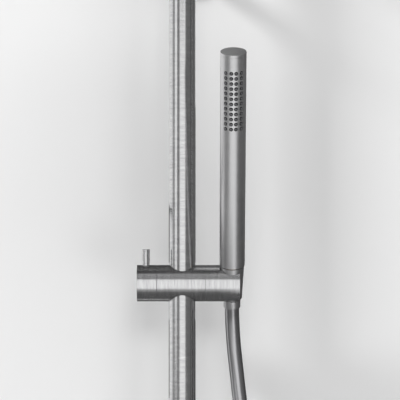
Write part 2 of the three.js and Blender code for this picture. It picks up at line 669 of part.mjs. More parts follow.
function riserUnion(group) {
  const washerLow = RISER_SEAT_Z + GAP;
  const washerHigh = washerLow + WASHER_THICKNESS;
  const washer = ring(RISER_RADIUS - GAP, RISER_BOSS_BORE + GAP, washerLow, washerHigh, 'z', FEW_SIDES);
  piece(group, 'riser_union_washer', washer, RUBBER);
  const inner = RISER_BOSS_RADIUS + GAP;
  const outer = inner + RISER_NUT_WALL;
  const low = BAR_RADIUS + RISER_NUT_START;
  const high = low + RISER_NUT_HEIGHT;
  const step = RISER_SEAT_Z + GAP;
  const profile = [[inner, low], [outer - EDGE, low], [outer, low + EDGE], [outer, high - EDGE]];
  profile.push([outer - EDGE, high], [RISER_FIT, high], [RISER_FIT, step], [inner, step], [inner, low]);
  piece(group, 'riser_union_nut', turned(profile), BRUSHED);
}

function inletUnion(group, side, x) {
  const spigotEnd = BAR_RADIUS + SPIGOT_LENGTH;
  const washerNear = spigotEnd + GAP;
  const washerFar = washerNear + WASHER_THICKNESS;
  const washer = ring(SPIGOT_FLANGE_RADIUS, INLET_BORE, washerNear, washerFar, 'y', FEW_SIDES);
  piece(group, `union_washer_${side}`, washer.translate(x, 0, 0), RUBBER);

  const nutBore = UNION_THREAD_RADIUS + GAP;
  const nutNear = BAR_RADIUS + UNION_NUT_START;
  const nutFar = nutNear + UNION_NUT_LENGTH;
  const nut = cut(
    rod(nutBore + UNION_NUT_WALL, nutNear, nutFar, 'y', HEX, 2 * EDGE),
    rod(SPIGOT_RADIUS + GAP, nutNear - OVERCUT, nutFar, 'y', MID_SIDES),
    rod(nutBore, nutNear + UNION_NUT_LIP, nutFar + OVERCUT, 'y', MID_SIDES),
  );
  piece(group, `union_nut_${side}`, nut.translate(x, 0, 0), BRUSHED);

  const threadNear = washerFar + GAP;
  const threadFar = threadNear + UNION_THREAD_LENGTH;
  const wallEnd = RISER_FROM_WALL + WALL_THREAD_LENGTH;
  const webNear = threadFar - UNION_OVERLAP;
  const webFar = webNear + UNION_WEB_THICKNESS;
  const union = cut(
    join(
      rod(UNION_THREAD_RADIUS, threadNear, threadFar, 'y', MID_SIDES),
      rod(UNION_WEB_RADIUS, webNear, webFar, 'y', MID_SIDES).translate(0, 0, -UNION_OFFSET / 2),
      rod(WALL_THREAD_RADIUS, webFar - UNION_OVERLAP, wallEnd, 'y', MID_SIDES).translate(0, 0, -UNION_OFFSET),
    ),
    rod(INLET_BORE, threadNear - OVERCUT, threadFar + UNION_OVERLAP, 'y', FEW_SIDES),
    rod(INLET_BORE, threadFar, wallEnd + OVERCUT, 'y', FEW_SIDES).translate(0, 0, -UNION_OFFSET),
  );
  piece(group, `eccentric_union_${side}`, union.translate(x, 0, 0), BRASS);

  const hole = UNION_THREAD_RADIUS + GAP;
  const front = RISER_FROM_WALL - ROSE_DEPTH;
  const back = RISER_FROM_WALL - GAP;
  const shoulder = hole + ROSE_FACE;
  const slope = back - ROSE_RIM;
  const rose = [[hole, front], [shoulder, front], [ROSE_RADIUS, slope], [ROSE_RADIUS, back]];
  rose.push([ROSE_RADIUS - ROSE_WALL, back], [ROSE_RADIUS - ROSE_WALL, slope + ROSE_WALL / 2]);
  rose.push([shoulder - ROSE_WALL / 2, front + ROSE_WALL], [hole, front + ROSE_WALL], [hole, front]);
  piece(group, `inlet_rose_${side}`, turned(rose, 'y').translate(x, 0, 0), BRUSHED);
}

// A cartridge lies in its end of the bar with its spindle standing out into the handle.
function cartridge(group, name, side) {
  const radius = BAR_BORE - GAP;
  const face = BAR_HALF_LENGTH - CARTRIDGE_INSET;
  const back = face - CARTRIDGE_LENGTH;
  const profile = [[0, back], [radius, back], [radius, face], [SPINDLE_RADIUS, face]];
  profile.push([SPINDLE_RADIUS, face + SPINDLE_LENGTH], [0, face + SPINDLE_LENGTH]);
  const shape = turned(profile, 'x', MID_SIDES);
  piece(group, name, side > 0 ? shape : shape.rotateZ(Math.PI), DARK_PLASTIC);
}

// A handle is a hollow cup over the cartridge's spindle, with a lever pin pressed in near its end.
function handle(group, name, side, near, extraHoles = []) {
  const far = near + HANDLE_LENGTH;
  const cavity = near + HANDLE_CAVITY;
  const pinX = far - HANDLE_PIN_FROM_END;
  const shape = cut(
    rod(BAR_RADIUS, near, far, 'x', SIDES, EDGE),
    rod(BAR_RADIUS - HANDLE_WALL, near - OVERCUT, cavity, 'x', MID_SIDES),
    rod(SPINDLE_RADIUS + GAP, near, BAR_HALF_LENGTH + SPINDLE_LENGTH, 'x', FEW_SIDES),
    rod(PIN_RADIUS + GAP, PIN_SOCKET_Z, BAR_RADIUS + OVERCUT, 'z', FEW_SIDES).translate(pinX, 0, 0),
    ...extraHoles,
  );
  const pin = rod(PIN_RADIUS, PIN_SOCKET_Z + GAP, BAR_RADIUS + PIN_PROUD, 'z', FEW_SIDES, EDGE);
  pin.translate(pinX, 0, 0);
  const turn = side > 0 ? 0 : Math.PI;
  piece(group, name, shape.rotateZ(turn), BRUSHED);
  piece(group, `${name}_pin`, pin.rotateZ(turn), BRUSHED);
}

function hoseOutlet(group) {
  const outlet = groupAt(OUTLET_X, 0, -BAR_RADIUS - OUTLET_BOSS_DROP - GAP);
  group.add(outlet);
  const flangeLow = -OUTLET_FLANGE;
  const threadEnd = flangeLow - OUTLET_THREAD_LENGTH;
  const nipple = [[OUTLET_BORE, OUTLET_SHANK_LENGTH], [OUTLET_SHANK_RADIUS, OUTLET_SHANK_LENGTH]];
  nipple.push([OUTLET_SHANK_RADIUS, 0], [OUTLET_BOSS_RADIUS, 0], [OUTLET_BOSS_RADIUS, flangeLow]);
  nipple.push([OUTLET_THREAD_RADIUS, flangeLow], [OUTLET_THREAD_RADIUS, threadEnd]);
  nipple.push([OUTLET_BORE, threadEnd], [OUTLET_BORE, OUTLET_SHANK_LENGTH]);
  piece(outlet, 'hose_outlet_nipple', turned(nipple), BRUSHED);

  const washerTop = threadEnd - GAP;
  const washerLow = washerTop - WASHER_THICKNESS;
  const washer = ring(OUTLET_THREAD_RADIUS, OUTLET_BORE, washerLow, washerTop, 'z', FEW_SIDES);
  piece(outlet, 'hose_washer_lower', washer, RUBBER);

  const inner = OUTLET_THREAD_RADIUS + GAP;
  const outer = inner + LOWER_NUT_WALL;
  const nutTop = flangeLow - LOWER_NUT_START;
  const nutLow = nutTop - LOWER_NUT_LENGTH;
  const floor = washerLow - GAP;
  const nut = [[inner, nutTop], [outer - EDGE, nutTop], [outer, nutTop - EDGE], [outer, nutLow + EDGE]];
  nut.push([outer - EDGE, nutLow], [NUT_SWIVEL_RADIUS, nutLow], [NUT_SWIVEL_RADIUS, floor]);
  nut.push([inner, floor], [inner, nutTop]);
  piece(outlet, 'hose_nut_lower', turned(nut), BRUSHED);
  piece(outlet, 'hose_ferrule_lower', ferrule(floor, nutLow - GAP, LOWER_FERRULE_LENGTH), BRUSHED);
}

// The crimped end of the hose: a stem that turns in its nut, and a collar over the hose below it.
function ferrule(stemTop, collarTop, length) {
  const stem = NUT_SWIVEL_RADIUS - GAP;
  const low = collarTop - length;
  const profile = [[FERRULE_BORE, stemTop], [stem, stemTop], [stem, collarTop], [FERRULE_RADIUS, collarTop]];
  profile.push([FERRULE_RADIUS, low + EDGE], [FERRULE_RADIUS - EDGE, low], [FERRULE_BORE, low]);
  profile.push([FERRULE_BORE, stemTop]);
  return turned(profile, 'z', MID_SIDES);
}

function mixer() {
  const group = groupAt(0, -RISER_FROM_WALL, MIXER_Z);
  mixerBody(group);
  riserUnion(group);
  inletUnion(group, 'left', -INLET_SPACING / 2);
  inletUnion(group, 'right', INLET_SPACING / 2);
  cartridge(group, 'thermostat_cartridge', 1);
  cartridge(group, 'flow_cartridge', -1);

  const handleFace = BAR_HALF_LENGTH + GAP;
  const ringEnd = handleFace + STOP_RING_THICKNESS;
  const stopRing = ring(BAR_RADIUS, BAR_RADIUS - HANDLE_WALL, handleFace, ringEnd, 'x');
  piece(group, 'temp_stop_ring', stopRing, BRUSHED);
  const buttonX = BAR_HALF_LENGTH + BUTTON_FROM_BAR;
  const buttonHole = rod(BUTTON_RADIUS + GAP, -BAR_RADIUS - OVERCUT, 0, 'y', FEW_SIDES);
  handle(group, 'temp_handle', 1, ringEnd + GAP, [buttonHole.translate(buttonX, 0, 0)]);
  const buttonTop = -BAR_RADIUS - BUTTON_PROUD;
  const button = rod(BUTTON_RADIUS, buttonTop, buttonTop + BUTTON_HEIGHT, 'y', FEW_SIDES, EDGE);
  piece(group, 'temp_stop_button', button.translate(buttonX, 0, 0), DARK_PLASTIC);
  handle(group, 'flow_handle', -1, handleFace);
  hoseOutlet(group);
  return group;
}

// ---- Slider, holder and handset ----------------------------------------------------------------------------

function sliderParts(group) {
  const linerRadius = RISER_FIT + LINER_WALL;
  const groove = Math.sqrt(SLIDER_RADIUS ** 2 - (SLIDER_BORE + LINER_COVER) ** 2);
  piece(group, 'slider_liner', ring(linerRadius, RISER_FIT, GAP - groove, groove - GAP), ACETAL);

  const shoeTip = -(SLIDER_BORE + GAP / 2);
  const shoeBack = shoeTip - SHOE_LENGTH;
  const spindleTip = shoeBack - SHOE_FREE - GAP;
  const knobRight = SLIDER_LEFT - GAP;
  const knobLeft = knobRight - KNOB_LENGTH;
  const spindleEnd = knobRight - KNOB_BORE_DEPTH;
  const screwTip = SLIDER_BORE + 2 * GAP;
  const body = cut(
    rod(SLIDER_RADIUS, SLIDER_LEFT, SLIDER_RIGHT, 'x', BAR_SIDES, EDGE / 2),
    rod(RISER_FIT, -SLIDER_RADIUS - OVERCUT, SLIDER_RADIUS + OVERCUT, 'z'),
    rod(SLIDER_BORE, -groove, groove, 'z'),
    rod(SHOE_RADIUS + GAP, spindleTip - GAP, 0, 'x', FEW_SIDES),
    rod(CLAMP_SPINDLE_RADIUS + GAP, SLIDER_LEFT - OVERCUT, 0, 'x', FEW_SIDES),
    rod(PIVOT_SCREW_RADIUS + GAP, 0, SLIDER_RIGHT + OVERCUT, 'x', FEW_SIDES),
  );
  piece(group, 'slider_body', body, BRUSHED);
  piece(group, 'clamp_shoe', rod(SHOE_RADIUS, shoeBack, shoeTip, 'x', FEW_SIDES), ACETAL);
  piece(group, 'clamp_spindle', rod(CLAMP_SPINDLE_RADIUS, spindleEnd, spindleTip, 'x', FEW_SIDES), STEEL_SCREW);

  const pinX = SLIDER_LEFT - KNOB_PIN_FROM_BODY - GAP;
  const knob = cut(
    rod(SLIDER_RADIUS, knobLeft, knobRight, 'x', BAR_SIDES, EDGE / 2),
    rod(CLAMP_SPINDLE_RADIUS + GAP, spindleEnd - GAP, knobRight + OVERCUT, 'x', FEW_SIDES),
    rod(PIN_RADIUS + GAP, PIN_SOCKET_Z, SLIDER_RADIUS + OVERCUT, 'z', FEW_SIDES).translate(pinX, 0, 0),
  );
  piece(group, 'slider_knob', knob, BRUSHED);
  const pin = rod(PIN_RADIUS, PIN_SOCKET_Z + GAP, SLIDER_RADIUS + PIN_PROUD, 'z', FEW_SIDES, EDGE / 2);
  piece(group, 'slider_knob_pin', pin.translate(pinX, 0, 0), BRUSHED);

  const washerFar = HOLDER_LEFT + HOLDER_WASHER_THICKNESS;
  const washer = ring(HOLDER_WASHER_RADIUS, PIVOT_SCREW_RADIUS + GAP, HOLDER_LEFT, washerFar, 'x', MID_SIDES);
  piece(group, 'holder_washer', washer, DARK_PLASTIC);
  const headNear = HOLDER_LEFT + PIVOT_HEAD_FROM_FACE;
  const screw = join(
    rod(PIVOT_SCREW_RADIUS, screwTip, headNear + OVERCUT, 'x', FEW_SIDES),
    rod(PIVOT_HEAD_RADIUS, headNear, headNear + PIVOT_HEAD_LENGTH, 'x', FEW_SIDES, EDGE),
  );
  piece(group, 'holder_pivot_screw', screw, STEEL_SCREW);
}

// The nut's taper, carried past both of its ends so that it also cuts the holder's seat.
function nutTaper(extra, low, high) {
  const slope = (NUT_TOP_RADIUS - NUT_FOOT_RADIUS) / (NUT_LENGTH - NUT_CHAMFER);
  const radiusAt = (s) => NUT_TOP_RADIUS - slope * (NUT_TOP - s) + extra;
  return turned([[0, low], [radiusAt(low), low], [radiusAt(high), high], [0, high]], 'z', SIDES);
}

function holder(group) {
  const reach = SLIDER_RADIUS + OVERCUT;
  const headNear = HOLDER_LEFT + PIVOT_HEAD_FROM_FACE;
  const washerFar = HOLDER_LEFT + HOLDER_WASHER_THICKNESS;
  const right = HOLDER_LEFT + HOLDER_LENGTH;
  const shape = cut(
    rod(SLIDER_RADIUS, HOLDER_LEFT, right, 'x', BAR_SIDES, EDGE / 2),
    nutTaper(GAP, -reach, reach).translate(HANDSET_X, 0, 0),
    box([HANDSET_X, -HOLDER_SLOT_HALF_WIDTH, -reach], [right + OVERCUT, HOLDER_SLOT_HALF_WIDTH, reach]),
    rod(PIVOT_HEAD_RADIUS + GAP, headNear - GAP, HANDSET_X, 'x', FEW_SIDES),
    rod(PIVOT_SCREW_RADIUS + GAP, HOLDER_LEFT - OVERCUT, headNear, 'x', FEW_SIDES),
    rod(HOLDER_WASHER_RADIUS + GAP, HOLDER_LEFT - OVERCUT, washerFar + GAP, 'x', MID_SIDES),
  );
  piece(group, 'handset_holder', shape, BRUSHED);
}

function hoseNut(group) {
  const thread = HANDSET_THREAD_RADIUS + GAP;
  const threadEnd = NUT_TOP - HANDSET_THREAD_LENGTH;
  const washerTop = threadEnd - GAP;
  const washerLow = washerTop - WASHER_THICKNESS - GAP;
  const floor = washerLow - GAP;
  const nut = [[thread, NUT_TOP], [NUT_TOP_RADIUS, NUT_TOP], [NUT_FOOT_RADIUS, NUT_FOOT + NUT_CHAMFER]];
  nut.push([NUT_FOOT_RADIUS - NUT_CHAMFER, NUT_FOOT], [NUT_SWIVEL_RADIUS, NUT_FOOT]);
  nut.push([NUT_SWIVEL_RADIUS, floor], [thread, floor], [thread, NUT_TOP]);
  piece(group, 'hose_nut_upper', turned(nut), BRUSHED);
  const washer = ring(HANDSET_THREAD_RADIUS, FERRULE_BORE + GAP, washerLow, washerTop, 'z', FEW_SIDES);
  piece(group, 'hose_washer_upper', washer, RUBBER);
  piece(group, 'hose_ferrule_upper', ferrule(floor - GAP / 2, NUT_FOOT - GAP, FERRULE_LENGTH), BRUSHED);
}

// The spray nozzles' places: a row's height and a column's angle off straight ahead.
function sprayPlaces() {
  const top = HANDSET_END - SPRAY_TOP_FROM_END;
  const places = [];
  for (let row = 0; row < SPRAY_ROWS; row += 1) {
    SPRAY_COLUMN_ANGLES.forEach((angle) => places.push([top - row * SPRAY_ROW_PITCH, angle]));
  }
  return places;
}

function spoke(radius, from, to, height, angle) {
  return rod(radius, from, to, 'y', JET_SIDES).rotateZ(radians(angle)).translate(0, 0, height);
}

function handset(group) {
  const inside = HANDSET_RADIUS - HANDSET_WALL;
  const capLow = HANDSET_END - HANDSET_CAP;
  const tubeTop = capLow - GAP;
  const places = sprayPlaces();
  const holes = places.map(([s, angle]) => spoke(SPRAY_HOLE_RADIUS, -HANDSET_RADIUS - OVERCUT, 0, s, angle));
  const tube = cut(ring(HANDSET_RADIUS, inside, HANDSET_START, tubeTop), ...holes);
  piece(group, 'handset_tube', tube, BRUSHED);

  const plug = inside - GAP;
  const stripTop = places[0][0] + SPRAY_STRIP_MARGIN;
  const stripLow = places[places.length - 1][0] - SPRAY_STRIP_MARGIN;
  const cap = join(
    rod(HANDSET_RADIUS, capLow, HANDSET_END, 'z', SIDES, EDGE / 2),
    rod(plug, stripTop + GAP, capLow + EDGE, 'z', MID_SIDES),
  );
  piece(group, 'handset_end_cap', cap, BRUSHED);

  const span = 2 * HANDSET_RADIUS;
  const middle = (SPRAY_COLUMN_ANGLES[0] + SPRAY_COLUMN_ANGLES[SPRAY_COLUMN_ANGLES.length - 1]) / 2;
  const wedge = new THREE.Shape([new THREE.Vector2(0, 0), ...[-1, -0.5, 0, 0.5, 1].map((k) => {
    const angle = radians(middle + k * SPRAY_STRIP_HALF_ANGLE);
    return new THREE.Vector2(span * Math.sin(angle), -span * Math.cos(angle));
  })]);
  const sector = new THREE.ExtrudeGeometry(wedge, { depth: stripTop - stripLow, bevelEnabled: false });
  const strip = meet(
    ring(plug, plug - SPRAY_STRIP_WALL, stripLow, stripTop, 'z', MID_SIDES),
    sector.translate(0, 0, stripLow),
  );
  const nubBase = -(plug - SPRAY_STRIP_WALL / 2);
  const nubTip = -(HANDSET_RADIUS + SPRAY_NUB_PROUD);
  const nubs = places.map(([s, angle]) => spoke(SPRAY_NUB_RADIUS, nubTip, nubBase, s, angle));
  piece(group, 'handset_spray_strip', join(strip, ...nubs), SILICONE);

  const threadEnd = NUT_TOP - HANDSET_THREAD_LENGTH;
  const insertTop = HANDSET_START + HANDSET_INSERT;
  const inlet = [[HANDSET_BORE, threadEnd], [HANDSET_THREAD_RADIUS, threadEnd]];
  inlet.push([HANDSET_THREAD_RADIUS, HANDSET_START], [plug, HANDSET_START], [plug, insertTop]);
  inlet.push([HANDSET_BORE, insertTop], [HANDSET_BORE, threadEnd]);
  piece(group, 'handset_inlet', turned(inlet, 'z', MID_SIDES), BRASS);
}

function slider() {
  const group = groupAt(0, -RISER_FROM_WALL, SLIDER_Z);
  sliderParts(group);
  const tilted = new THREE.Group();
  tilted.rotation.x = radians(HANDSET_LEAN);
  group.add(tilted);
  holder(tilted);
  const alongHandset = groupAt(HANDSET_X, 0, 0);
  tilted.add(alongHandset);
  handset(alongHandset);
  hoseNut(alongHandset);
  return group;
}

// ---- Hose --------------------------------------------------------------------------------------------------

function hose() {
  const group = groupAt(0, 0, 0);
  const points = HOSE_POINTS.map((point) => new THREE.Vector3(...point));
  const route = new THREE.CatmullRomCurve3(points, false, 'centripetal');
  const section = new THREE.Shape(circle(HOSE_RADIUS, HOSE_SIDES));
  const options = { steps: HOSE_STEPS, extrudePath: route, bevelEnabled: false };
  piece(group, 'shower_hose', shapeOf(solidOf(new THREE.ExtrudeGeometry(section, options))), HOSE_SLEEVE);
  return group;
}

const column = new THREE.Group();
column.name = 'rainfall_shower_column';
column.add(wallBracket(), riser(), overheadArm(), rainHead(), mixer(), slider(), hose());
export default column;
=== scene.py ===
"""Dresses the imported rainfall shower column: fine meshes, brushed metal finishes, hose, studio and camera.

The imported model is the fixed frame. Every fine piece is measured from the CAD node that it stands for, rides
on that node's body, and keeps to the node's place. All lengths are in metres unless a name says otherwise.
"""
from __future__ import annotations

import json
import logging
import math
from collections.abc import Iterable, Sequence
from dataclasses import dataclass, field
from enum import Enum
from functools import cached_property

import bmesh
import bpy
from mathutils import Euler, Matrix, Vector
from mathutils.geometry import interpolate_bezier
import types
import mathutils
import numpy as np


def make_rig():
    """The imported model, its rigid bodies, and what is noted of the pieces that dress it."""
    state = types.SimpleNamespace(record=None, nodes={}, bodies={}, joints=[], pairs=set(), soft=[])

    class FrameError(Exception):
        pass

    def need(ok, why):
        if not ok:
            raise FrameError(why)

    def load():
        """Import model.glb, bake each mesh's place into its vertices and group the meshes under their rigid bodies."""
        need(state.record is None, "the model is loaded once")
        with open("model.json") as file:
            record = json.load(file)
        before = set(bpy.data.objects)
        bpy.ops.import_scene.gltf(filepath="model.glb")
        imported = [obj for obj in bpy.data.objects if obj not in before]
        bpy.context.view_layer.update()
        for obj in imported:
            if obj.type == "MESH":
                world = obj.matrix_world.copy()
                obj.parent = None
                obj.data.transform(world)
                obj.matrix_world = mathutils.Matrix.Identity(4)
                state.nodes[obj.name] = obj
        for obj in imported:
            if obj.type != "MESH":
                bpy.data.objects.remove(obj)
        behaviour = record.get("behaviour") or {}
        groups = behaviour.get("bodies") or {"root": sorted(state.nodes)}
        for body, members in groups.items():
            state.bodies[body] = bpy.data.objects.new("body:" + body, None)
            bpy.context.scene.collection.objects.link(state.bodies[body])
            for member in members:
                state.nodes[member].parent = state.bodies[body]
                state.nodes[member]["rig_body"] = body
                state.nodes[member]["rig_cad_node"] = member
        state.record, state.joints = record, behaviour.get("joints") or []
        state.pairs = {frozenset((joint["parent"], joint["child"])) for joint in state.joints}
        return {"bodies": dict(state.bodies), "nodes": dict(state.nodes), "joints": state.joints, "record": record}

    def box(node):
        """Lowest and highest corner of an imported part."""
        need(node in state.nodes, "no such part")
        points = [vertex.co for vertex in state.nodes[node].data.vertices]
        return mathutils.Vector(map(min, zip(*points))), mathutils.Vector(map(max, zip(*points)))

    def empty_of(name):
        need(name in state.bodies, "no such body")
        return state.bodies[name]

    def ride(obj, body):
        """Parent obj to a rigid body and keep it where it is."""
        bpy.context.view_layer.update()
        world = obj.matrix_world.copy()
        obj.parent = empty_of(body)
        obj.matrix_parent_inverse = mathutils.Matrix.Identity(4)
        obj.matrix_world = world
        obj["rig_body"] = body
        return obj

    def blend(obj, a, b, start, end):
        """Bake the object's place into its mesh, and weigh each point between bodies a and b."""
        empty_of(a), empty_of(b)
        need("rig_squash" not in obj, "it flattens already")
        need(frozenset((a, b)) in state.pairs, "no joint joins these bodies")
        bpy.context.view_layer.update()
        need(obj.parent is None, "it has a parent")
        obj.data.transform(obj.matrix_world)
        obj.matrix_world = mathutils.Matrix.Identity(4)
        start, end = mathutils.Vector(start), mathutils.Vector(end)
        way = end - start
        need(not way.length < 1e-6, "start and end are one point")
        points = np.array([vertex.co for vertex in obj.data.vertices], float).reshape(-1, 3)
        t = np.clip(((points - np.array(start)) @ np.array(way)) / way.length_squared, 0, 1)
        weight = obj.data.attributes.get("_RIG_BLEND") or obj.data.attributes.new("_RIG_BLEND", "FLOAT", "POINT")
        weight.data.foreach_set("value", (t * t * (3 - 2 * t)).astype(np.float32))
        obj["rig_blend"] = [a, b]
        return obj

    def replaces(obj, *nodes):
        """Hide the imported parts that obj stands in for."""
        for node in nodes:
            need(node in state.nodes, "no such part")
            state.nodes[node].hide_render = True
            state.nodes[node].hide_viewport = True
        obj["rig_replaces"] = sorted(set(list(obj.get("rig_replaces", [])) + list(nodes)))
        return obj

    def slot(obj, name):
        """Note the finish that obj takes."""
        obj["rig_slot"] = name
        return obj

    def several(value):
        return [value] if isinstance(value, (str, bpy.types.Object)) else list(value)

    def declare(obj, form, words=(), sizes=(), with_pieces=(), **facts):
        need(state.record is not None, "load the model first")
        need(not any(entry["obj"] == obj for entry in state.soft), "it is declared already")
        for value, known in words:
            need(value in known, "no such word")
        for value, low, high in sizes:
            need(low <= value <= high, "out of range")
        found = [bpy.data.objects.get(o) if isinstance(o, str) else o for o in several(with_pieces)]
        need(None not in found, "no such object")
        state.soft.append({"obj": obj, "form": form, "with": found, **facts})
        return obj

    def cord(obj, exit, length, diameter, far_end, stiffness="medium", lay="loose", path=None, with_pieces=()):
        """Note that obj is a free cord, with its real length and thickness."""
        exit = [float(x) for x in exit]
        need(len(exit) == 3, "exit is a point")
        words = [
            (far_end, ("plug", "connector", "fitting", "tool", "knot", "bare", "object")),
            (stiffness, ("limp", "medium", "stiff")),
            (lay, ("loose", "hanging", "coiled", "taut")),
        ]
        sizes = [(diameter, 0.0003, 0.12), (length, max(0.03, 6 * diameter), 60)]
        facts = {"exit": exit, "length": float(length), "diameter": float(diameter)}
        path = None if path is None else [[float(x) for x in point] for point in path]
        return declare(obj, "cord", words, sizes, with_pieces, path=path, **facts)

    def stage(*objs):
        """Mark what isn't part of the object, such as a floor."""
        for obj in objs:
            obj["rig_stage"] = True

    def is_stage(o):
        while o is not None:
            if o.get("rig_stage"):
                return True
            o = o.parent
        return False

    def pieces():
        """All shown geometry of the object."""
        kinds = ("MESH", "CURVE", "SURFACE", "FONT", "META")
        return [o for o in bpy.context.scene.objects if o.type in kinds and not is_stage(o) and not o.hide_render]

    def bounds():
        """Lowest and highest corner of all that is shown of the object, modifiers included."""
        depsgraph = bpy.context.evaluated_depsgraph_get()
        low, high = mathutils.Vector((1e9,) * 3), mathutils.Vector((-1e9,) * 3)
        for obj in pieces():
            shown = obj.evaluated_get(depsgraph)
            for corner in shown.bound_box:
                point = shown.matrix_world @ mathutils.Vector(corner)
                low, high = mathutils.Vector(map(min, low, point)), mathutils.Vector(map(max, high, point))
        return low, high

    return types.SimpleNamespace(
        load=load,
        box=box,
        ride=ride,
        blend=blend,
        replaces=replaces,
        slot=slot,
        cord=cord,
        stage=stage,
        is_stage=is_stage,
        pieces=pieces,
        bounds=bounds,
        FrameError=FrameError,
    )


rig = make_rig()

LOG = logging.getLogger("shower_column")
SIZE_FILE = "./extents.json"
MM = 0.001
TURN_STEPS = 96
FINE_STEPS = 144
SMALL_STEPS = 40
EDGE_SEGMENTS = 3
BALL_STEPS = 24
FIRST_CORNER = math.radians(0.7)  # keeps the corners of pieces that cross off each other
MERGE = 1e-7
WORK_SCALE = 1000.0
WORK_MERGE = 2e-4
SMOOTH_ANGLE = math.radians(32)
LEVEL_MARGIN = 0.35 * MM  # how near to a height a corner counts as at it
CLEARANCE = 0.3 * MM  # left between two faces that touch on the real product
OVERCUT = 1 * MM  # how far a cutting shape stands out of what it cuts
NUT_CHAMFER = 1.6 * MM
FERRULE_BORE = 3.5 * MM
FERRULE_EDGE = 0.5 * MM
SWIVEL_RADIUS = 6 * MM  # of the hole that the hose's stem turns in
PIVOT_RADIUS = 2.5 * MM  # of the screw that the holder tilts on
PIVOT_HEAD = 3.3 * MM  # how long that screw's head is
EDGE = 0.3 * MM  # a rounded corner's radius where a piece names no other
NUB_EDGE = 0.12 * MM
NUB_STEPS = 20
HOLE_STEPS = 24
WALL_SCREWS = ("bracket_screw_upper", "bracket_screw_lower")
HEXAGON = 6
HOSE_UV = "hose_layout"
WHITE = (1, 1, 1, 1)
X_AXIS = Vector((1, 0, 0))
Y_AXIS = Vector((0, 1, 0))
Z_AXIS = Vector((0, 0, 1))

Outline = Sequence[tuple[float, float]]
Shape = bmesh.types.BMesh
Colour = tuple[float, float, float]
Corner = tuple[float, float, float]


# ---- Measuring the frame ---------------------------------


@dataclass(frozen=True)
class Axis:
    """A line that pieces are turned about.

    Args:
        point: a point on the line, in the frame.
        direction: the way that local Z runs.
        across: the way that local X runs.
    """

    point: Vector
    direction: Vector
    across: Vector

    @property
    def matrix(self) -> Matrix:
        """Carries local coordinates into the frame."""
        side = self.direction.cross(self.across)
        turn = Matrix((self.across, side, self.direction)).transposed()
        return Matrix.Translation(self.point) @ turn.to_4x4()

    def moved(self, offset: Vector) -> Axis:
        """The same axis through another point."""
        return Axis(self.point + offset, self.direction, self.across)

    def place(self, mesh: Shape) -> Shape:
        """Moves a shape from the axis's coordinates into the frame."""
        mesh.transform(self.matrix)
        return mesh


def upright(point: Vector) -> Axis:
    """An axis that runs up through a point."""
    return Axis(point, Z_AXIS, X_AXIS)


def level(point: Vector) -> Axis:
    """An axis that runs to the right through a point, with local X up."""
    return Axis(point, X_AXIS, Z_AXIS)


def inward(point: Vector) -> Axis:
    """An axis that runs into the wall through a point, with local X up."""
    return Axis(point, Y_AXIS, Z_AXIS)


class Side(Enum):
    """Which of the two inlets."""

    LEFT = "left"
    RIGHT = "right"


@dataclass(frozen=True)
class Span:
    """How far a node reaches along an axis and from it."""

    low: float
    high: float
    radius: float

    @property
    def length(self) -> float:
        """The reach from the low end to the high end."""
        return self.high - self.low


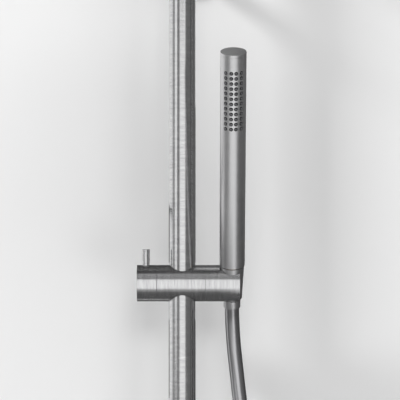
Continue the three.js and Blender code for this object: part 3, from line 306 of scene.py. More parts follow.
@dataclass
class Column:
    """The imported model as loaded, with the measures that the pieces are made from."""

    frame: dict = field(repr=False)

    @cached_property
    def slots(self) -> dict[str, str]:
        """The material slot of each node."""
        return {row["node"]: row["material_slot"] for row in self.frame["record"]["subparts"]}

    @cached_property
    def bodies(self) -> dict[str, str]:
        """The body of each node."""
        groups = self.frame["record"]["behaviour"]["bodies"]
        return {node: body for body, nodes in groups.items() for node in nodes}

    def pivot(self, joint: str) -> Vector:
        """A joint's point."""
        return Vector(next(row for row in self.frame["joints"] if row["name"] == joint)["pos_m"])

    @cached_property
    def riser_axis(self) -> Axis:
        """The riser's axis, through the frame's own level."""
        place = self.pivot("arm_swivel")
        return upright(Vector((place.x, place.y, 0)))

    @cached_property
    def bar_axis(self) -> Axis:
        """The mixer bar's axis."""
        place = self.pivot("temperature_turn")
        return level(Vector((0, place.y, place.z)))

    @cached_property
    def slider_axis(self) -> Axis:
        """The axis that the slider's knob and holder turn about."""
        place = self.pivot("holder_tilt")
        return level(Vector((0, place.y, place.z)))

    @cached_property
    def handset_axis(self) -> Axis:
        """The handset's own axis, from the slider's axis up."""
        row = next(row for row in self.frame["joints"] if row["name"] == "handset_spin")
        return Axis(Vector(row["pos_m"]), Vector(row["axis"]).normalized(), X_AXIS)

    @cached_property
    def head_axis(self) -> Axis:
        """The rain head's axis, from the middle of its ball."""
        return upright(self.pivot("head_tilt_front"))

    @cached_property
    def outlet_axis(self) -> Axis:
        """The axis of the mixer's hose outlet."""
        return upright(self.centre("hose_outlet_nipple") * Vector((1, 1, 0)))

    def inlet_axis(self, side: Side) -> Axis:
        """The axis of one inlet, into the wall."""
        return inward(Vector((self.centre(f"inlet_rose_{side.value}").x, 0, self.bar_axis.point.z)))

    def pin_axis(self, node: str, height: float) -> Axis:
        """The upright axis of a pin, from a height."""
        middle = self.centre(node)
        return upright(Vector((middle.x, middle.y, height)))

    def centre(self, node: str) -> Vector:
        """The middle of a node's box."""
        low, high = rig.box(node)
        return (low + high) / 2

    def size(self, node: str) -> Vector:
        """The sides of a node's box."""
        low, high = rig.box(node)
        return high - low

    def _corners(self, node: str, axis: Axis) -> list[tuple[float, float]]:
        """Each corner of a node as its distance from an axis and its height along it."""
        inverse = axis.matrix.inverted()
        points = (inverse @ vertex.co for vertex in self.frame["nodes"][node].data.vertices)
        return [(point.xy.length, point.z) for point in points]

    def span(self, node: str, axis: Axis) -> Span:
        """Measures a node along an axis.

        Args:
            node: the CAD node's name.
            axis: the line that it is measured along.

        Returns:
            Its ends along the axis and its largest distance from it.
        """
        radii, heights = zip(*self._corners(node, axis))
        return Span(min(heights), max(heights), max(radii))

    def bore(self, node: str, axis: Axis) -> float:
        """The smallest distance from an axis to any corner of a node."""
        return min(radius for radius, _ in self._corners(node, axis))

    def _distances_at(self, node: str, axis: Axis, height: float) -> list[float]:
        """A node's distances from an axis at one height."""
        return [radius for radius, h in self._corners(node, axis) if abs(h - height) < LEVEL_MARGIN]

    def widest_at(self, node: str, axis: Axis, height: float) -> float:
        """A node's largest distance from an axis at one height."""
        return max(self._distances_at(node, axis, height))

    def narrowest_at(self, node: str, axis: Axis, height: float) -> float:
        """A node's smallest distance from an axis at one height."""
        return min(self._distances_at(node, axis, height))

    def widest_from(self, node: str, axis: Axis) -> float:
        """The lowest height at which a node is about as wide as it gets."""
        widest = self.span(node, axis).radius
        return min(h for radius, h in self._corners(node, axis) if radius > widest - 2 * LEVEL_MARGIN)


# ---- Shader expressions ----------------------------------


class Wire:
    """A shader socket that takes part in Python expressions on values."""

    def __init__(self, tree: ShaderTree, socket: bpy.types.NodeSocket) -> None:
        """Keeps the socket and the tree that it belongs to."""
        self.tree = tree
        self.socket = socket

    def _maths(self, operation: str, first: Wire | float, second: Wire | float = 0.0) -> Wire:
        """Adds a Math node on two values."""
        return self.tree.node("ShaderNodeMath", {"operation": operation}, {0: first, 1: second})

    def __add__(self, other: Wire | float) -> Wire:
        """Adds."""
        return self._maths("ADD", self, other)

    __radd__ = __add__

    def __sub__(self, other: Wire | float) -> Wire:
        """Subtracts."""
        return self._maths("SUBTRACT", self, other)

    def __mul__(self, other: Wire | float) -> Wire:
        """Multiplies."""
        return self._maths("MULTIPLY", self, other)

    __rmul__ = __mul__

    def __truediv__(self, other: Wire | float) -> Wire:
        """Divides."""
        return self._maths("DIVIDE", self, other)

    def __pow__(self, other: float) -> Wire:
        """Raises to a power."""
        return self._maths("POWER", self, other)

    def at_least(self, other: Wire | float) -> Wire:
        """The larger of the value and another."""
        return self._maths("MAXIMUM", self, other)

    def sine(self) -> Wire:
        """The sine of the value."""
        return self._maths("SINE", self)


class ShaderTree:
    """The nodes of a material or a world, with one method that adds them."""

    def __init__(self, name: str, kind: str = "materials") -> None:
        """Starts an empty material, or an empty world where kind is worlds."""
        self.owner = getattr(bpy.data, kind).new(name)
        self.owner.use_nodes = True
        self.nodes = self.owner.node_tree.nodes
        self.links = self.owner.node_tree.links
        self.nodes.clear()

    def add(self, kind: str, settings: dict[str, object], inputs: dict[int | str, object]) -> bpy.types.Node:
        """Adds a node.

        Args:
            kind: the node's type.
            settings: properties that are set before its sockets.
            inputs: a value or a Wire for each named or numbered input.

        Returns:
            The node.
        """
        made = self.nodes.new(kind)
        for key, value in settings.items():
            setattr(made, key, value)
        for key, value in inputs.items():
            if isinstance(value, Wire):
                self.links.new(value.socket, made.inputs[key])
            else:
                made.inputs[key].default_value = value
        return made

    def node(
        self, kind: str, settings: dict[str, object], inputs: dict[int | str, object], output: int | str = 0
    ) -> Wire:
        """Adds a node and returns one of its outputs."""
        return Wire(self, self.add(kind, settings, inputs).outputs[output])

    def split(self, vector: Wire) -> tuple[Wire, Wire, Wire]:
        """The X, Y and Z of a vector."""
        outputs = self.add("ShaderNodeSeparateXYZ", {}, {"Vector": vector}).outputs
        return Wire(self, outputs["X"]), Wire(self, outputs["Y"]), Wire(self, outputs["Z"])

    def local(self, axis: Axis) -> tuple[Wire, Wire, Wire, Wire]:
        """A piece's own coordinates, turned so that Z runs along its axis.

        Args:
            axis: the line that the piece is turned about.

        Returns:
            The whole vector, then its X, Y and Z.
        """
        coordinates = self.node("ShaderNodeTexCoord", {}, {}, "Object")
        matrix = axis.matrix
        settings = {"vector_type": "TEXTURE"}
        sockets = {"Vector": coordinates, "Location": matrix.translation, "Rotation": matrix.to_euler()}
        vector = self.node("ShaderNodeMapping", settings, sockets)
        return vector, *self.split(vector)

    def vector(self, x: Wire | float, y: Wire | float, z: Wire | float) -> Wire:
        """Joins three values into a vector."""
        return self.node("ShaderNodeCombineXYZ", {}, {"X": x, "Y": y, "Z": z})

    def distance(self, x: Wire, y: Wire) -> Wire:
        """How far a place lies from the axis, kept off nought."""
        return ((x * x + y * y) ** 0.5).at_least(0.1 * MM)

    def noise(self, vector: Wire, scale: float, detail: float = 2.0, w: Wire | None = None) -> Wire:
        """A noise value from 0 to 1, in four dimensions where w is given."""
        settings = {"noise_dimensions": "3D" if w is None else "4D"}
        inputs: dict[int | str, object] = {"Vector": vector, "Scale": scale, "Detail": detail}
        if w is not None:
            inputs["W"] = w
        return self.node("ShaderNodeTexNoise", settings, inputs)

    def ramp(self, value: Wire, dark: Colour, light: Colour, start: float = 0.3, end: float = 0.7) -> Wire:
        """Mixes two colours by a value between two stops."""
        share = self.node("ShaderNodeMapRange", {}, {"Value": value, "From Min": start, "From Max": end})
        return self.node("ShaderNodeMix", {"data_type": "RGBA"}, {0: share, 6: (*dark, 1), 7: (*light, 1)}, 2)

    def bump(self, height: Wire, distance: float, strength: float = 1.0) -> Wire:
        """A normal from a height of 0 to 1 that stands for a distance."""
        return self.node("ShaderNodeBump", {}, {"Height": height, "Distance": distance, "Strength": strength})

    def surface(self, inputs: dict[int | str, object]) -> bpy.types.Material:
        """Closes the material with a Principled shader."""
        return self.close(self.node("ShaderNodeBsdfPrincipled", {}, inputs))

    def close(self, shader: Wire, output: str = "ShaderNodeOutputMaterial") -> bpy.types.ID:
        """Closes the material or world with any shader."""
        self.add(output, {}, {"Surface": shader})
        return self.owner


# ---- Finishes --------------------------------------------


@dataclass(frozen=True)
class Finish:
    """What all finishes share.

    Args:
        name: what the material is called.
        colour: its colour at full light.
    """

    name: str
    colour: Colour

    def tint(self, share: float) -> Colour:
        """The colour, lighter or darker by a share."""
        return tuple(min(1.0, channel * share) for channel in self.colour)

    def material(self, axis: Axis) -> bpy.types.Material:
        """Makes the material for pieces that are turned about an axis."""
        raise NotImplementedError


@dataclass(frozen=True)
class BrushedMetal(Finish):
    """Metal brushed round its axis: fine grooves that run round sides and end faces alike.

    Args:
        roughness: the roughness between the grooves.
        groove_pitch: the distance from one fine groove to the next.
        groove_depth: the height of the fine grooves.
        band_pitch: the distance between broader, fainter marks.
        arc: how many streaks lie end to end round the piece, about.
        broad_arc: how many of the broader marks there are for each streak.
        fine_share: the fine grooves' part of the marks.
        wear: how far the marks lighten or darken the metal.
        dulling: how much rougher the darkest marks are than the palest.
    """

    roughness: float = 0.2
    groove_pitch: float = 0.45 * MM
    groove_depth: float = 0.045 * MM
    band_pitch: float = 2.2 * MM
    arc: float = 1.6
    broad_arc: float = 0.7
    fine_share: float = 0.6
    wear: float = 0.16
    dulling: float = 0.16

    def material(self, axis: Axis) -> bpy.types.Material:
        """Makes the brushed metal for one axis.

        Args:
            axis: the line that the pieces are turned about.

        Returns:
            The material.
        """
        tree = ShaderTree(self.name)
        _, x, y, along = tree.local(axis)
        out = tree.distance(x, y)
        round_x = x / out * self.arc
        round_y = y / out * self.arc
        grooves = tree.vector(round_x, round_y, along / self.groove_pitch)
        fine = tree.noise(grooves, 1.0, 2.0, out / self.groove_pitch)
        bands = tree.vector(round_x * self.broad_arc, round_y * self.broad_arc, along / self.band_pitch)
        broad = tree.noise(bands, 1.0, 1.0, out / self.band_pitch)
        marks = fine * self.fine_share + broad * (1 - self.fine_share)
        return tree.surface({
            "Base Color": tree.ramp(marks, self.tint(1 - self.wear), self.tint(1 + self.wear)),
            "Metallic": 1.0,
            "Roughness": marks * self.dulling + (self.roughness - self.dulling / 2),
            "Normal": tree.bump(fine, self.groove_depth),
        })


@dataclass(frozen=True)
class SatinMetal(Finish):
    """Metal blasted to an even satin, with a very fine grain and faint clouds.

    Args:
        roughness: the mean roughness.
        grain: how many grains there are to a metre.
        depth: how high the grain stands.
        clouds: how many clouds there are to a metre.
        wear: how far the clouds and grains lighten or darken the metal.
        dulling: how much the clouds change the roughness.
    """

    roughness: float = 0.38
    grain: float = 2600.0
    depth: float = 0.004 * MM
    clouds: float = 120.0
    wear: float = 0.06
    dulling: float = 0.08

    def material(self, axis: Axis) -> bpy.types.Material:
        """Makes the satin metal.

        Args:
            axis: the line that the pieces are turned about.

        Returns:
            The material.
        """
        tree = ShaderTree(self.name)
        vector, _, _, _ = tree.local(axis)
        grain = tree.noise(vector, self.grain, 2.0)
        cloud = tree.noise(vector, self.clouds, 3.0)
        dark, light = self.tint(1 - self.wear), self.tint(1 + self.wear)
        return tree.surface({
            "Base Color": tree.ramp((cloud + grain) * 0.5, dark, light),
            "Metallic": 1.0,
            "Roughness": cloud * self.dulling + (self.roughness - self.dulling / 2),
            "Normal": tree.bump(grain, self.depth),
        })


@dataclass(frozen=True)
class TurnedMetal(Finish):
    """Metal left as it came off the lathe: fine regular tool marks and a clean sheen.

    Args:
        roughness: the mean roughness.
        pitch: the feed of the tool.
        depth: the height of the tool marks.
        stains: how many stains there are to a metre.
        stain: how far a stain darkens the metal.
        polish: how far the clean metal is lighter.
        dulling: how much a stain changes the roughness.
    """

    roughness: float = 0.26
    pitch: float = 0.25 * MM
    depth: float = 0.004 * MM
    stains: float = 90.0
    stain: float = 0.12
    polish: float = 0.06
    dulling: float = 0.18

    def material(self, axis: Axis) -> bpy.types.Material:
        """Makes the turned metal for one axis.

        Args:
            axis: the line that the pieces are turned about.

        Returns:
            The material.
        """
        tree = ShaderTree(self.name)
        vector, x, y, along = tree.local(axis)
        marks = ((along + tree.distance(x, y)) * (2 * math.pi / self.pitch)).sine() * 0.5 + 0.5
        cloud = tree.noise(vector, self.stains, 3.0)
        return tree.surface({
            "Base Color": tree.ramp(cloud, self.tint(1 - self.stain), self.tint(1 + self.polish)),
            "Metallic": 1.0,
            "Roughness": cloud * self.dulling + (self.roughness - self.dulling / 2),
            "Normal": tree.bump(marks, self.depth),
        })


@dataclass(frozen=True)
class SleeveMetal(Finish):
    """The smooth metallic sleeve of the hose, with the faint turns of the spiral inside it.

    Args:
        roughness: the mean roughness.
        turn_pitch: the pitch of the spiral.
        depth: how high the spiral's turns stand.
        grain: how many clouds there are to a metre.
        shade: how far a cloud darkens the sleeve.
        gleam: how far the rest is lighter.
        dulling: how much the clouds change the roughness.
    """

    roughness: float = 0.3
    turn_pitch: float = 2.4 * MM
    depth: float = 0.006 * MM
    grain: float = 260.0
    shade: float = 0.06
    gleam: float = 0.04
    dulling: float = 0.1

    def material(self, axis: Axis) -> bpy.types.Material:
        """Makes the sleeve; its pattern follows the piece's own UV map, in metres along and turns round.

        Args:
            axis: not used; the pattern follows the piece's UV map.

        Returns:
            The material.
        """
        tree = ShaderTree(self.name)
        layout = tree.node("ShaderNodeUVMap", {"uv_map": HOSE_UV}, {})
        along, turn, _ = tree.split(layout)
        spiral = ((along / self.turn_pitch + turn) * (2 * math.pi)).sine() * 0.5 + 0.5
        cloud = tree.noise(layout, self.grain, 2.0)
        return tree.surface({
            "Base Color": tree.ramp(cloud, self.tint(1 - self.shade), self.tint(1 + self.gleam)),
            "Metallic": 1.0,
            "Roughness": cloud * self.dulling + (self.roughness - self.dulling / 2),
            "Normal": tree.bump(spiral, self.depth),
        })


@dataclass(frozen=True)
class Moulded(Finish):
    """Moulded plastic or rubber: a fine even grain with faint cloudiness.

    Args:
        roughness: the mean roughness.
        grain: how many grains there are to a metre.
        depth: how high the grain stands.
        clouds: how many clouds there are to a metre.
        shade: how far a cloud darkens the plastic.
        gleam: how far the rest is lighter.
        dulling: how much the clouds change the roughness.
    """

    roughness: float = 0.5
    grain: float = 1800.0
    depth: float = 0.01 * MM
    clouds: float = 60.0
    shade: float = 0.12
    gleam: float = 0.08
    dulling: float = 0.2

    def base_colour(self, tree: ShaderTree, cloud: Wire, x: Wire, y: Wire) -> Wire:
        """The colour at a place across the axis, before any light."""
        return tree.ramp(cloud, self.tint(1 - self.shade), self.tint(1 + self.gleam))

    def material(self, axis: Axis) -> bpy.types.Material:
        """Makes the plastic or rubber.

        Args:
            axis: the line that the pieces are turned about.

        Returns:
            The material.
        """
        tree = ShaderTree(self.name)
        vector, x, y, _ = tree.local(axis)
        grain = tree.noise(vector, self.grain, 2.0)
        cloud = tree.noise(vector, self.clouds, 2.0)
        return tree.surface({
            "Base Color": self.base_colour(tree, cloud, x, y),
            "Roughness": cloud * self.dulling + (self.roughness - self.dulling / 2),
            "Normal": tree.bump(grain, self.depth),
        })


@dataclass(frozen=True)
class NozzlesWithPaintedLight(Moulded):
    """Silicone painted dark at its base as shade in the holes round the nubs, and painted paler from a given distance
    off the axis as light on the tips of the nubs.

    Args:
        tip: the colour of the painted light on the tips, as a share of the painted-shade base's.
        start: how far out the painted light on the tips starts.
        fade: over what distance the painted shade turns into the painted light.
    """

    tip: float = 5.0
    start: float = 11.4 * MM
    fade: float = 0.3 * MM

    def base_colour(self, tree: ShaderTree, cloud: Wire, x: Wire, y: Wire) -> Wire:
        """The colour at a place across the axis: painted shade at the base, painted light on the tips."""
        # how far up the nub a place lies: low is painted shade in the hole, high is painted light on the tip
        height = (tree.distance(x, y) - self.start) / self.fade
        return tree.ramp(height + cloud * 0.2, self.colour, self.tint(self.tip), 0.1, 1.1)


STEEL = BrushedMetal("brushed_steel", (0.56, 0.56, 0.565))
DRAWN_STEEL = BrushedMetal("drawn_steel", (0.56, 0.56, 0.565), groove_depth=0.02 * MM)
SATIN = SatinMetal("satin_steel", (0.56, 0.56, 0.565))
BARE_STEEL = TurnedMetal("turned_steel", (0.6, 0.6, 0.61))
BRASS = TurnedMetal("bare_brass", (0.72, 0.52, 0.24), roughness=0.3)
SLEEVE = SleeveMetal("hose_sleeve", (0.47, 0.47, 0.48))
ACETAL = Moulded("acetal", (0.8, 0.8, 0.78), roughness=0.42)
DARK_PLASTIC = Moulded("dark_plastic", (0.045, 0.045, 0.05), roughness=0.45)
SILICONE = Moulded("silicone", (0.33, 0.33, 0.345), roughness=0.55, grain=900.0)
# the spray strip's dark base is painted shade round the nubs, and its paler nub tips are painted light
SPRAY_SILICONE_PAINTED_LIGHT = NozzlesWithPaintedLight("spray_silicone", (0.035, 0.035, 0.037), roughness=0.5, grain=1200.0)
RUBBER = Moulded("seal_rubber", (0.02, 0.02, 0.02), roughness=0.7)
FINISH_OF_SLOT: dict[str, Finish] = {
    "brushed_steel": STEEL,
    "screw_steel": BARE_STEEL,
    "hose_sleeve": SLEEVE,
    "brass": BRASS,
    "acetal": ACETAL,
    "dark_plastic": DARK_PLASTIC,
    "silicone": SILICONE,
    "rubber": RUBBER,
}


# ---- Mesh work -------------------------------------------


def round_corners(mesh: Shape, radius: float) -> None:
    """Rounds the corners of an outline that hasn't been spun yet."""
    corners = [vertex for vertex in mesh.verts if len(vertex.link_edges) == 2 and vertex.co.x > MERGE]
    bmesh.ops.bevel(
        mesh, geom=[*corners, *mesh.edges], offset=radius, offset_type="OFFSET", segments=EDGE_SEGMENTS,
        profile=0.5, affect="VERTICES", material=-1, clamp_overlap=True,
    )


def turned(
    outline: Outline, edge: float = EDGE, steps: int = TURN_STEPS, closed: bool = False,
    first: float = FIRST_CORNER,
) -> Shape:
    """Turns an outline about local Z.

    Args:
        outline: the radius and height of each corner, from axis to axis or round a closed loop.
        edge: the radius of its rounded corners, 0 for sharp ones.
        steps: how many facets the piece has.
        closed: whether the outline closes on itself, as a ring's does.
        first: how far round from local X its first corner stands.

    Returns:
        The turned shape.
    """
    mesh = bmesh.new()
    corners = [mesh.verts.new((radius, 0, height)) for radius, height in outline]
    pairs = list(zip(corners, corners[1:]))
    if closed:
        pairs.append((corners[-1], corners[0]))
    for pair in pairs:
        mesh.edges.new(pair)
    if edge > 0:
        round_corners(mesh, edge)
    bmesh.ops.spin(
        mesh, geom=[*mesh.verts, *mesh.edges], cent=(0, 0, 0), axis=(0, 0, 1), dvec=(0, 0, 0),
        angle=2 * math.pi, steps=steps, use_merge=True,
    )
    bmesh.ops.remove_doubles(mesh, verts=mesh.verts, dist=MERGE)
    bmesh.ops.dissolve_degenerate(mesh, edges=mesh.edges, dist=MERGE / 10)
    bmesh.ops.recalc_face_normals(mesh, faces=mesh.faces)
    mesh.transform(Matrix.Rotation(first, 4, "Z"))
    return mesh


def bar_piece(
    radius: float, low: float, high: float, low_chamfer: float, high_chamfer: float,
) -> Shape:
    """A solid length of bar along local Z, with a flat chamfer of its own at each end.

    Args:
        radius: the bar's radius.
        low: the height of its lower end.
        high: the height of its upper end.
        low_chamfer: the lower chamfer's size.
        high_chamfer: the upper chamfer's size.

    Returns:
        The piece.
    """
    outline = [(0, low), (radius - low_chamfer, low), (radius, low + low_chamfer)]
    outline += [(radius, high - high_chamfer), (radius - high_chamfer, high), (0, high)]
    return turned(outline, 0, FINE_STEPS)


def rod(radius: float, low: float, high: float, edge: float = EDGE, steps: int = TURN_STEPS) -> Shape:
    """A solid round bar along local Z."""
    return turned([(0, low), (radius, low), (radius, high), (0, high)], edge, steps)


def ring(
    outer: float, inner: float, low: float, high: float, edge: float = EDGE, steps: int = TURN_STEPS
) -> Shape:
    """A round tube along local Z."""
    outline = [(inner, low), (outer, low), (outer, high), (inner, high)]
    return turned(outline, edge, steps, closed=True)


def prism(radius: float, low: float, high: float, sides: int) -> Shape:
    """A bar with flat sides along local Z."""
    return turned([(0, low), (radius, low), (radius, high), (0, high)], 0, sides, first=0)


def block(low: Vector, high: Vector) -> Shape:
    """A box between two corners."""
    mesh = bmesh.new()
    size, middle = high - low, (high + low) / 2
    bmesh.ops.create_cube(mesh, size=1, matrix=Matrix.Translation(middle) @ Matrix.Diagonal((*size, 1)))
    return mesh


def placed(mesh: Shape, matrix: Matrix) -> Shape:
    """Moves a shape and returns it."""
    mesh.transform(matrix)
    return mesh


def merged(shapes: Iterable[Shape]) -> Shape:
    """Puts several shapes into one mesh."""
    whole = bmesh.new()
    for shape in shapes:
        scratch = bpy.data.meshes.new("scratch")
        shape.to_mesh(scratch)
        shape.free()
        whole.from_mesh(scratch)
        bpy.data.meshes.remove(scratch)
    return whole


class Cut(Enum):
    """What a second shape does to the first."""

    AWAY = "DIFFERENCE"
    ADD = "UNION"
    KEEP = "INTERSECT"


Step = tuple[Cut, Shape]


def worked(base: Shape, *steps: Step) -> Shape:
    """Cuts and joins shapes in order, at a large scale so that the cuts stay exact.

    Args:
        base: the shape that is worked on.
        steps: what to do, and the shape to do it with.

    Returns:
        The worked shape; the others are freed.
    """
    middle = sum((vertex.co for vertex in base.verts), Vector()) / len(base.verts)
    grow = Matrix.Scale(WORK_SCALE, 4) @ Matrix.Translation(-middle)
    objects = []
    for shape in [base, *(tool for _, tool in steps)]:
        shape.transform(grow)
        bmesh.ops.triangulate(shape, faces=[face for face in shape.faces if len(face.verts) > 4])
        data = bpy.data.meshes.new("scratch")
        shape.to_mesh(data)
        shape.free()
        made = bpy.data.objects.new("scratch", data)
        bpy.context.scene.collection.objects.link(made)
        objects.append(made)
    for (cut, _), tool in zip(steps, objects[1:]):
        modifier = objects[0].modifiers.new("work", "BOOLEAN")
        modifier.operation = cut.value
        modifier.object = tool
        modifier.solver = "EXACT"
    bpy.context.view_layer.update()
    evaluated = objects[0].evaluated_get(bpy.context.evaluated_depsgraph_get())
    result = bmesh.new()
    result.from_mesh(evaluated.to_mesh())
    evaluated.to_mesh_clear()
    for made in objects:
        data = made.data
        bpy.data.objects.remove(made)
        bpy.data.meshes.remove(data)
    bmesh.ops.remove_doubles(result, verts=result.verts, dist=WORK_MERGE)
    bmesh.ops.dissolve_degenerate(result, edges=result.edges, dist=WORK_MERGE)
    result.transform(grow.inverted())
    return result


def bored(axis: Axis, radius: float, low: float, high: float, steps: int = SMALL_STEPS) -> Step:
    """The step that bores a round hole.

    Args:
        axis: the hole's axis.
        radius: its radius.
        low: where it begins along the axis.
        high: where it ends.
        steps: how many facets it has.

    Returns:
        The step, for worked().
    """
    return Cut.AWAY, axis.place(rod(radius, low, high, 0, steps))


def eased(mesh: Shape, width: float, angle: float = math.radians(35)) -> Shape:
    """Bevels the sharp edges of a worked shape.

    Args:
        mesh: the shape.
        width: how wide the bevels are.
        angle: the least angle that counts as sharp.

    Returns:
        The same shape.
    """
    sharp = [edge for edge in mesh.edges if len(edge.link_faces) == 2 and edge.calc_face_angle(0) > angle]
    bmesh.ops.bevel(
        mesh, geom=sharp, offset=width, offset_type="OFFSET", segments=2, profile=0.5, affect="EDGES",
        material=-1, clamp_overlap=True, miter_outer="ARC",
    )
    bmesh.ops.remove_doubles(mesh, verts=mesh.verts, dist=MERGE)
    return mesh


def arc_outline(radius: float, first: float, last: float, steps: int) -> list[tuple[float, float]]:
    """Outline points on a circle about the origin, at angles from straight up."""
    angles = (first + (last - first) * step / steps for step in range(steps + 1))
    return [(radius * math.sin(angle), radius * math.cos(angle)) for angle in angles]


def ribs(radius: float, depth: float, low: float, high: float, pitch: float) -> list[tuple[float, float]]:
    """The outline of a screw thread's crests and roots.

    Args:
        radius: the crests' radius.
        depth: how far below them the roots lie.
        low: where the thread begins.
        high: where it ends.
        pitch: the wished distance between crests.

    Returns:
        The outline's corners, from low to high.
    """
    count = max(2, round((high - low) / pitch))
    step = (high - low) / count
    outline = []
    for number in range(count):
        start = low + number * step
        outline += [(radius - depth, start + 0.1 * step), (radius, start + 0.45 * step)]
        outline.append((radius, start + 0.6 * step))
    outline.append((radius - depth, high))
    return outline


# ---- Handing pieces to the frame -------------------------


@dataclass
class Workshop:
    """Turns meshes into dressed pieces that ride on the column's bodies."""

    column: Column
    materials: dict[tuple, bpy.types.Material] = field(default_factory=dict)
    made: dict[str, bpy.types.Object] = field(default_factory=dict)

    def material(self, finish: Finish, axis: Axis) -> bpy.types.Material:
        """The finish's material for an axis, made once."""
        key = (finish, *(round(value, 5) for row in axis.matrix for value in row))
        if key not in self.materials:
            self.materials[key] = finish.material(axis)
        return self.materials[key]

    def loose(
        self, name: str, mesh: Shape, axis: Axis, node: str, finish: Finish | None = None
    ) -> bpy.types.Object:
        """Makes a piece that stands for a node but rides on nothing yet.

        Args:
            name: the piece's name.
            mesh: the shape, in the frame's coordinates, which is freed.
            axis: how its finish runs.
            node: the CAD node that it stands for and takes its material slot from.
            finish: its finish, or None for the slot's own.

        Returns:
            The finished object.
        """
        data = bpy.data.meshes.new(name)
        mesh.to_mesh(data)
        mesh.free()
        made = bpy.data.objects.new(name, data)
        bpy.context.scene.collection.objects.link(made)
        data.shade_smooth()
        data.set_sharp_from_angle(angle=SMOOTH_ANGLE)
        made.modifiers.new("even_shading", "WEIGHTED_NORMAL").keep_sharp = True
        slot = self.column.slots[node]
        data.materials.append(self.material(finish or FINISH_OF_SLOT[slot], axis))
        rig.slot(made, slot)
        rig.replaces(made, node)
        self.made[name] = made
        return made

    def stand_in(
        self, node: str, mesh: Shape, axis: Axis, finish: Finish | None = None
    ) -> bpy.types.Object:
        """Makes the fine piece that stands for one CAD node and rides on its body."""
        made = self.loose(f"fine_{node}", mesh, axis, node, finish)
        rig.ride(made, self.column.bodies[node])
        return made

    def dress_nodes(self) -> None:
        """Gives each CAD node that still shows a fine finish of its slot."""
        for name, node in self.column.frame["nodes"].items():
            if node.hide_render:
                continue
            axis = upright(self.column.centre(name))
            node.data.materials.clear()
            node.data.materials.append(self.material(FINISH_OF_SLOT[self.column.slots[name]], axis))
            LOG.info("kept %s", name)


@dataclass
class Assembly:
    """A sub-assembly: it measures its nodes and builds their fine pieces.

    Args:
        shop: where its pieces are dressed.
        axis: the line that most of them are turned about.
    """

    shop: Workshop
    axis: Axis

    @property
    def column(self) -> Column:
        """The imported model."""
        return self.shop.column

    def piece(self, node: str, mesh: Shape, axis: Axis | None = None, finish: Finish | None = None) -> None:
        """Hands over the fine piece of one node.

        Args:
            node: the CAD node that it stands for.
            mesh: the shape, in its axis's coordinates.
            axis: the line that it is turned about, or None for the sub-assembly's own.
            finish: its finish, or None for the slot's own.
        """
        axis = axis or self.axis
        self.shop.stand_in(node, axis.place(mesh), axis, finish)

    def worked_piece(self, node: str, base: Shape, *steps: Step, axis: Axis | None = None) -> None:
        """Works a shape and hands it over as the fine piece of one node.

        Args:
            node: the CAD node that it stands for.
            base: the shape that is worked on, in the frame's coordinates like the steps' own.
            steps: what is done to it.
            axis: how its finish runs, or None for along the sub-assembly's own.
        """
        self.shop.stand_in(node, worked(base, *steps), axis or self.axis)

    def span(self, node: str, axis: Axis | None = None) -> Span:
        """A node's reach along an axis, the sub-assembly's own unless another is given."""
        return self.column.span(node, axis or self.axis)

    def bore(self, node: str, axis: Axis | None = None) -> float:
        """A node's smallest distance from an axis, the sub-assembly's own unless another is given."""
        return self.column.bore(node, axis or self.axis)

    def build(self) -> None:
        """Builds the sub-assembly's pieces."""
        raise NotImplementedError


# ---- Wall bracket, riser and top joint -------------------


